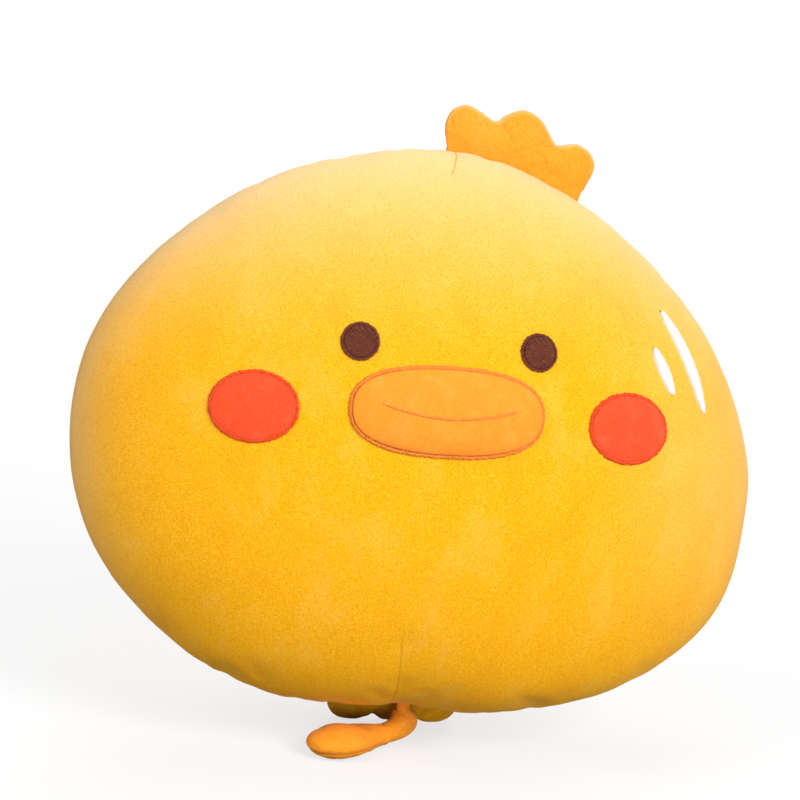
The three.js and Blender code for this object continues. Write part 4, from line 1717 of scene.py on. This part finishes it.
@dataclass
class Limb:
    """The soft leg tube and the flat foot at its end."""

    shape: BodyShape
    inflation: Inflation = Inflation(pressure=5.0, slack=0.03, cap=1.0, stiffness=12.0, bending=0.3)
    leg_fill: float = 0.5
    foot_fill: float = 0.7
    leg_inset: float = 1.9
    foot_inset: float = 2.0
    side: float = 7.0
    ahead: float = 25.0
    radius: float = 5.8
    reach: float = 13.0
    heading: float = math.radians(62)
    floor: float = 8.0
    top: float = 17.2
    into_body: float = 13.0
    # Share of its run at which the leg bends, how far the bend goes, and what bunches and ripples inside it
    bend_at: float = 0.54
    bend_reach: float = 7.0
    bunched: float = 5.2
    ripple: float = 0.3
    drawn_in: float = 0.35
    foot_length: float = 52.0
    foot_width: float = 30.0
    foot_thickness: float = 17.0
    fullest: float = 0.6
    neck: float = 6.0
    # How far the foot's rings crowd towards its toe, and how square its section is
    crowding: float = 1.15
    squareness: float = 0.92
    # Size and place of the foot's middle, round which its seam is drawn in
    sole_half: tuple[float, float] = (15.0, 26.0)
    foot_seam: Arch = Arch(4.4, 1.2, 1.0)
    seam_depth: float = 0.55
    root: Array = field(init=False)
    way: Array = field(init=False)
    across: Array = field(init=False)

    def __post_init__(self) -> None:
        """Finds the leg's root on the floor, the way the foot points and the way across it."""
        self.root = np.array([self.side + self.shape.middle[0], -self.ahead, 0.0])
        self.way = np.array([-math.sin(self.heading), -math.cos(self.heading), 0.0])
        self.across = np.cross(self.way, [0.0, 0.0, 1.0])

    def build(self, bench: Bench) -> None:
        """Builds leg and foot with their fillings."""
        leg = self.tube(bench, "orange_leg", self.radius, stations=44, sides=28)
        bench.subdivide(leg)
        bench.mark(leg, "seam", self.leg_seam(bench.points(leg)))
        bench.finish(leg, "leg", Finish.ORANGE_PLUSH, ["leg_cover"], self.leg_fill)
        filling = self.tube(bench, "fibre_leg_filling", self.radius - self.leg_inset, stations=20, sides=10)
        bench.finish(filling, "leg", Finish.FILLING, ["leg_filling"], self.leg_fill)
        foot = self.foot(bench, "orange_foot", 0.0, stations=40, sides=36)
        self.inflation.run(bench, foot, self.foot_held(bench.points(foot)))
        bench.subdivide(foot)
        self.foot_details(bench, foot)
        bench.finish(foot, None, Finish.ORANGE_PLUSH, ["foot_cover"], self.foot_fill)
        inside = self.foot(bench, "fibre_foot_filling", self.foot_inset, stations=14, sides=14)
        bench.finish(inside, None, Finish.FILLING, ["foot_filling"], self.foot_fill)
        start, end = (self.on(self.reach + far, self.floor) * MM for far in (-3.0, 8.0))
        for piece in (foot, inside):
            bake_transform(piece)

    def on(self, ahead: float, height: float) -> Array:
        """A place in the leg's plane."""
        return self.root + self.way * ahead + np.array([0.0, 0.0, height])

    def path(self) -> Array:
        """Closely spaced points down the leg and along the floor to the ankle."""
        # Places that it runs through, ahead of its root and above the floor
        knots = [(2.4, self.top + self.into_body), (1.6, self.top + 3.0), (-2.8, 14.6), (0.2, 10.6)]
        knots = np.array([*knots, (7.5, self.floor + 0.7), (self.reach + 5.2, self.floor)])
        beyond = np.concatenate([[knots[0] * 2 - knots[1]], knots, [knots[-1] * 2 - knots[-2]]])
        line = np.concatenate([curve_through(beyond, cuts=16, power=0), knots[-1:]])
        return np.array([self.on(*place) for place in line])

    def tube(self, bench: Bench, name: str, radius: float, stations: int, sides: int) -> bpy.types.Object:
        """Sweeps a closed tube down the leg, bunched inside its bend.

        Args:
            bench: The bench.
            name: Its name.
            radius: Its radius.
            stations: Rings along it.
            sides: Points of each ring.

        Returns:
            The piece.
        """
        path = self.path()
        run = distance_run(path)
        at = np.linspace(0, run[-1], stations)
        centre = resampled(path, run, at)
        up = np.cross(self.across, unit(np.gradient(centre, axis=0)))
        turn = np.linspace(0, 2 * math.pi, sides, endpoint=False)
        end = np.clip(np.minimum(at, run[-1] - at) / radius, 0, 1)
        round_off = np.sqrt(np.clip(1 - (1 - end) ** 2, 0.03, 1))
        bend = hump(at - self.bend_at * run[-1], self.bend_reach)
        inside = smooth(np.sin(turn))[None]
        deep = self.ripple * np.cos(1.9 * at) - self.bunched * radius / self.radius
        drawn = 1 - self.drawn_in * smooth((centre[:, 2] - 12.0) / 7.0)
        size = radius * (round_off * drawn)[:, None] * np.ones(sides) - deep[:, None] * bend[:, None] * inside
        rings = centre[:, None] + self.across * (size * np.cos(turn))[..., None]
        rings = rings + up[:, None] * (size * np.sin(turn))[..., None]
        rings[..., 2] = np.maximum(rings[..., 2], 0.0)
        return bench.closed(name, rings, [centre[0], centre[-1]])

    def leg_seam(self, points: Array) -> Array:
        """The line sewn down the leg's outer side."""
        beside = (points - self.root) @ self.across
        ahead = (points - self.root) @ self.way
        return hump(beside, 0.5) * smooth((ahead + 2) / 3) * (points[:, 2] < self.floor)

    def foot(self, bench: Bench, name: str, inset: float, stations: int, sides: int) -> bpy.types.Object:
        """Makes the foot: a flat pad, narrow at the ankle and widest near its toe, with a flat sole.

        Args:
            bench: The bench.
            name: Its name.
            inset: How far inside the foot's outside it lies.
            stations: Rings along it.
            sides: Points of each ring.

        Returns:
            The piece.
        """
        t = np.sin(np.linspace(0, math.pi / 2, stations)) ** self.crowding
        tip = self.foot_length - inset
        start = -2.0 + inset
        at = start + (tip - start) * t
        share = np.clip(at / tip, 0, 1)
        begin = np.sqrt(np.clip(1 - np.clip((3.0 - (at - start)) / 3.0, 0, 1) ** 2, 0.02, 1))
        fullest = (self.foot_width / 2, self.foot_thickness / 2)
        half_width, half_height = (self.swell(share, full) for full in fullest)
        wide, tall = (np.maximum(size - inset, 0.25) * begin for size in (half_width, half_height))
        rise = np.maximum(half_height, self.floor) - 0.5
        lift = np.minimum(rise, self.floor + (rise - self.floor) * smooth(share / 0.2))
        turn = np.linspace(0, 2 * math.pi, sides, endpoint=False)
        flat = np.sign(np.sin(turn)) * np.abs(np.sin(turn)) ** self.squareness
        ankle = self.on(self.reach, 0.0)
        rings = ankle + self.way * at[:, None, None] + self.across * (wide[:, None] * np.cos(turn))[..., None]
        rings = rings + np.array([0, 0, 1.0]) * (lift[:, None] + tall[:, None] * flat)[..., None]
        rings[..., 2] = np.maximum(rings[..., 2], inset * 0.8)
        heel = ankle + self.way * (start - 0.2) + np.array([0, 0, lift[0]])
        toe = ankle + self.way * (tip + 0.05) + np.array([0, 0, max(lift[-1], inset)])
        return bench.closed(name, rings, [heel, toe])

    def swell(self, share: Array, full: float) -> Array:
        """Half a size of the foot, from the ankle's to the fullest and round its toe."""
        beyond = np.clip((share - self.fullest) / (1 - self.fullest), 0, 1)
        before = self.neck + (full - self.neck) * smooth(share / self.fullest)
        return np.where(share < self.fullest, before, full * np.sqrt(1 - beyond**2))

    def foot_seam_height(self, ahead: Array) -> Array:
        """Height of the seam round the foot, which sits below its middle."""
        return self.foot_seam(np.clip(ahead / self.foot_length, 0, 1))

    def foot_held(self, points: Array) -> Array:
        """How firmly the sole, the seam and the ankle are held while the foot is inflated."""
        ahead = (points - self.on(self.reach, 0.0)) @ self.way
        seam = hump(points[:, 2] - self.foot_seam_height(ahead), 1.0)
        return np.maximum.reduce([seam, smooth((1.2 - points[:, 2]) / 0.8), smooth((4 - ahead) / 6)])

    def foot_details(self, bench: Bench, foot: bpy.types.Object) -> None:
        """Draws the foot's seam in, keeps its sole on the floor and paints shade on it below the seam."""
        points = bench.points(foot)
        ahead = (points - self.on(self.reach, 0.0)) @ self.way
        beside = (points - self.root) @ self.across
        wide, long = self.sole_half
        seam = hump(points[:, 2] - self.foot_seam_height(ahead), 0.6) * smooth((ahead - 4) / 6)
        seam = seam * smooth((np.hypot(beside / wide, (ahead - long) / long) - 0.5) / 0.3)
        inward = self.on(self.reach + long, 0.0) - points
        inward[:, 2] = 0
        points = points + unit(inward) * (self.seam_depth * seam)[:, None]
        points[:, 2] = np.maximum(points[:, 2], 0.0)
        bench.move(foot, points)
        # Painted shade: the foot below its seam is darkened as if in its own shadow
        painted_underside_shade = 0.3 * smooth((self.foot_seam_height(ahead) - points[:, 2]) / 1.5)
        bench.mark(foot, "seam", np.clip(np.maximum(0.8 * seam, painted_underside_shade), 0, 1))


# ---- Closing stitches ----


@dataclass
class ClosingThread:
    """Hand stitches that close the bottom seam: one thread to and fro across it."""

    first: float = -62.0
    last: float = -46.0
    stitches: int = 12
    bite: float = 2.4
    radius: float = 0.36
    # Lift of the thread in the seam's groove and where it goes into the cloth
    in_seam: float = 0.3
    in_cloth: float = -0.15

    def build(self, bench: Bench, body: PlushBody) -> None:
        """Runs the thread along the finished seam."""
        shape = body.shape
        count = 2 * self.stitches + 1
        angle = np.radians(np.linspace(self.first, self.last, count))
        sideways = np.array([0, 1, 0, -1])[np.arange(count) % 4] * self.bite
        seam = shape.settle(shape.points(angle, np.ones(count), 0))
        out = shape.outward(seam)
        lift = np.where(sideways == 0, self.in_seam - body.groove, self.in_cloth)
        knots = seam + out * lift[:, None] + np.stack([0 * sideways, sideways, 0 * sideways], axis=1)
        deselect()
        curve = bpy.data.curves.new("yellow_closing_thread", "CURVE")
        curve.dimensions = "3D"
        curve.bevel_depth = self.radius * MM
        curve.bevel_resolution = 2
        curve.use_fill_caps = True
        curve.resolution_u = 6
        spline = curve.splines.new("BEZIER")
        spline.bezier_points.add(count - 1)
        for point, place in zip(spline.bezier_points, shape.world(knots) * MM):
            point.co = place
            point.handle_left_type = point.handle_right_type = "AUTO"
        drawn = bpy.data.objects.new("yellow_closing_thread", curve)
        bpy.context.scene.collection.objects.link(drawn)
        bench.activate(drawn)
        bpy.ops.object.convert(target="MESH")
        thread = bpy.context.active_object
        if not thread.data.uv_layers:
            thread.data.uv_layers.new(name="thread")
        thread.data.uv_layers[0].name = "thread"
        bench.finish(thread, "body", Finish.YELLOW_THREAD, ["closing_thread"])


# ---- Studio ----


@dataclass
class Studio:
    """Floor, lamps, world and camera."""

    target: tuple[float, float, float] = (-1.4028, 0.0, 171.726)
    azimuth: float = math.radians(-12)
    elevation: float = math.radians(14)
    roll: float = math.radians(6.5)
    distance: float = 2.0
    lens: float = 162.03
    shift_right: float = -8.5
    shift_up: float = 20.3
    # Name, place, size and power of each lamp
    lamps: tuple[tuple[str, tuple[float, float, float], float, float], ...] = (
        ("key", (1.15, -1.7, 1.4), 1.3, 48.5),
        ("top", (0.1, 0.6, 2.0), 1.6, 12.5),
        ("fill", (-1.9, -0.7, 1.5), 1.4, 23.0),
        ("low", (-0.2, -2.2, 0.32), 0.55, 14.0),
        ("back", (0.9, 2.0, 1.3), 1.4, 22.0),
    )
    ambient: float = 0.145
    # How light the floor is to light that comes off it, and as it is seen
    lit_floor: float = 0.26
    seen_floor: float = 0.9

    def build(self) -> None:
        """Sets the stage."""
        self.floor()
        self.light()
        self.camera()
        bpy.context.scene.view_settings.view_transform = "Standard"

    def floor(self) -> None:
        """Lays a pale floor that fades to white away from the toy for the camera, and keeps its shadow."""
        deselect()
        bpy.ops.mesh.primitive_plane_add(size=24.0, location=(0, 0, 0))
        floor = bpy.context.active_object
        floor.name = "pale_floor"
        sheet = Sheet("pale_floor_paint")
        where = sheet.place()
        reach = sheet.node("ShaderNodeVectorMath", {"operation": "LENGTH"}, {0: where}, "Value")
        far = sheet.between(reach, Band(0.15, 0.75))
        kinds = ("Is Camera Ray", "Is Glossy Ray", "Is Transmission Ray")
        camera, glossy, transmitted = (sheet.node("ShaderNodeLightPath", output=kind) for kind in kinds)
        seen = camera.math("MAXIMUM", glossy).math("MAXIMUM", transmitted)
        greys = [(value, value, value, 1.0) for value in (self.lit_floor, self.seen_floor)]
        lit, shown = (sheet.node("ShaderNodeBsdfDiffuse", {}, {"Color": grey}) for grey in greys)
        white = sheet.node("ShaderNodeEmission", {}, {"Color": WHITE, "Strength": 1.0})
        faded = sheet.node("ShaderNodeMixShader", {}, {0: far * 0.3 + 0.7, 1: shown, 2: white})
        mixed = sheet.node("ShaderNodeMixShader", {}, {0: seen, 1: lit, 2: faded})
        sheet.node("ShaderNodeOutputMaterial", {}, {"Surface": mixed})
        floor.data.materials.append(sheet.material)

    def light(self) -> None:
        """Hangs the lamps and sets the world."""
        aim = Vector(self.target) * MM
        for name, place, size, power in self.lamps:
            lamp = bpy.data.lights.new(f"{name}_lamp", "AREA")
            lamp.shape = "DISK"
            lamp.size = size
            lamp.energy = power
            holder = bpy.data.objects.new(f"{name}_lamp", lamp)
            turned = (aim - Vector(place)).to_track_quat("-Z", "Y").to_matrix().to_4x4()
            holder.matrix_world = Matrix.Translation(place) @ turned
            bpy.context.scene.collection.objects.link(holder)
        world = bpy.context.scene.world or bpy.data.worlds.new("studio")
        bpy.context.scene.world = world
        world.use_nodes = True
        tree = world.node_tree
        tree.nodes.clear()
        path = tree.nodes.new("ShaderNodeLightPath")
        soft, white = (tree.nodes.new("ShaderNodeBackground") for _ in range(2))
        for shade, strength in ((soft, self.ambient), (white, 1.0)):
            shade.inputs["Strength"].default_value = strength
            shade.inputs["Color"].default_value = WHITE
        mix = tree.nodes.new("ShaderNodeMixShader")
        out = tree.nodes.new("ShaderNodeOutputWorld")
        tree.links.new(path.outputs["Is Camera Ray"], mix.inputs[0])
        tree.links.new(soft.outputs[0], mix.inputs[1])
        tree.links.new(white.outputs[0], mix.inputs[2])
        tree.links.new(mix.outputs[0], out.inputs["Surface"])

    def camera(self) -> None:
        """Puts the camera at the photograph's angle."""
        az, el = self.azimuth, self.elevation
        back = Vector((math.sin(az) * math.cos(el), -math.cos(az) * math.cos(el), math.sin(el)))
        right = Vector((math.cos(az), math.sin(az), 0.0))
        up = back.cross(right)
        c, s = math.cos(self.roll), math.sin(self.roll)
        turned_right, turned_up = right * c + up * s, up * c - right * s
        place = Vector(self.target) * MM + back * self.distance
        place += (turned_right * self.shift_right + turned_up * self.shift_up) * MM
        data = bpy.data.cameras.new("photo_camera")
        data.lens = self.lens
        data.sensor_width = 36.0
        data.clip_end = 60.0
        camera = bpy.data.objects.new("photo_camera", data)
        rows = [(turned_right[i], turned_up[i], back[i], place[i]) for i in range(3)]
        camera.matrix_world = Matrix([*rows, (0, 0, 0, 1)])
        bpy.context.scene.collection.objects.link(camera)
        bpy.context.scene.camera = camera


def main() -> None:
    """Builds the toy over its frame and sets the stage."""
    logging.basicConfig(level=logging.INFO, format="%(name)s: %(message)s")
    Studio().build()
    deselect()
    bench = Bench(Wardrobe())
    body = PlushBody()
    front = body.build(bench)
    Face().build(Needle(bench, body.shape), FrontCloth(body.shape, front))
    Comb().build(bench, body.shape)
    Tail().build(bench, body.shape)
    Limb(body.shape).build(bench)
    ClosingThread().build(bench, body)


if __name__ == "__main__":
    main()
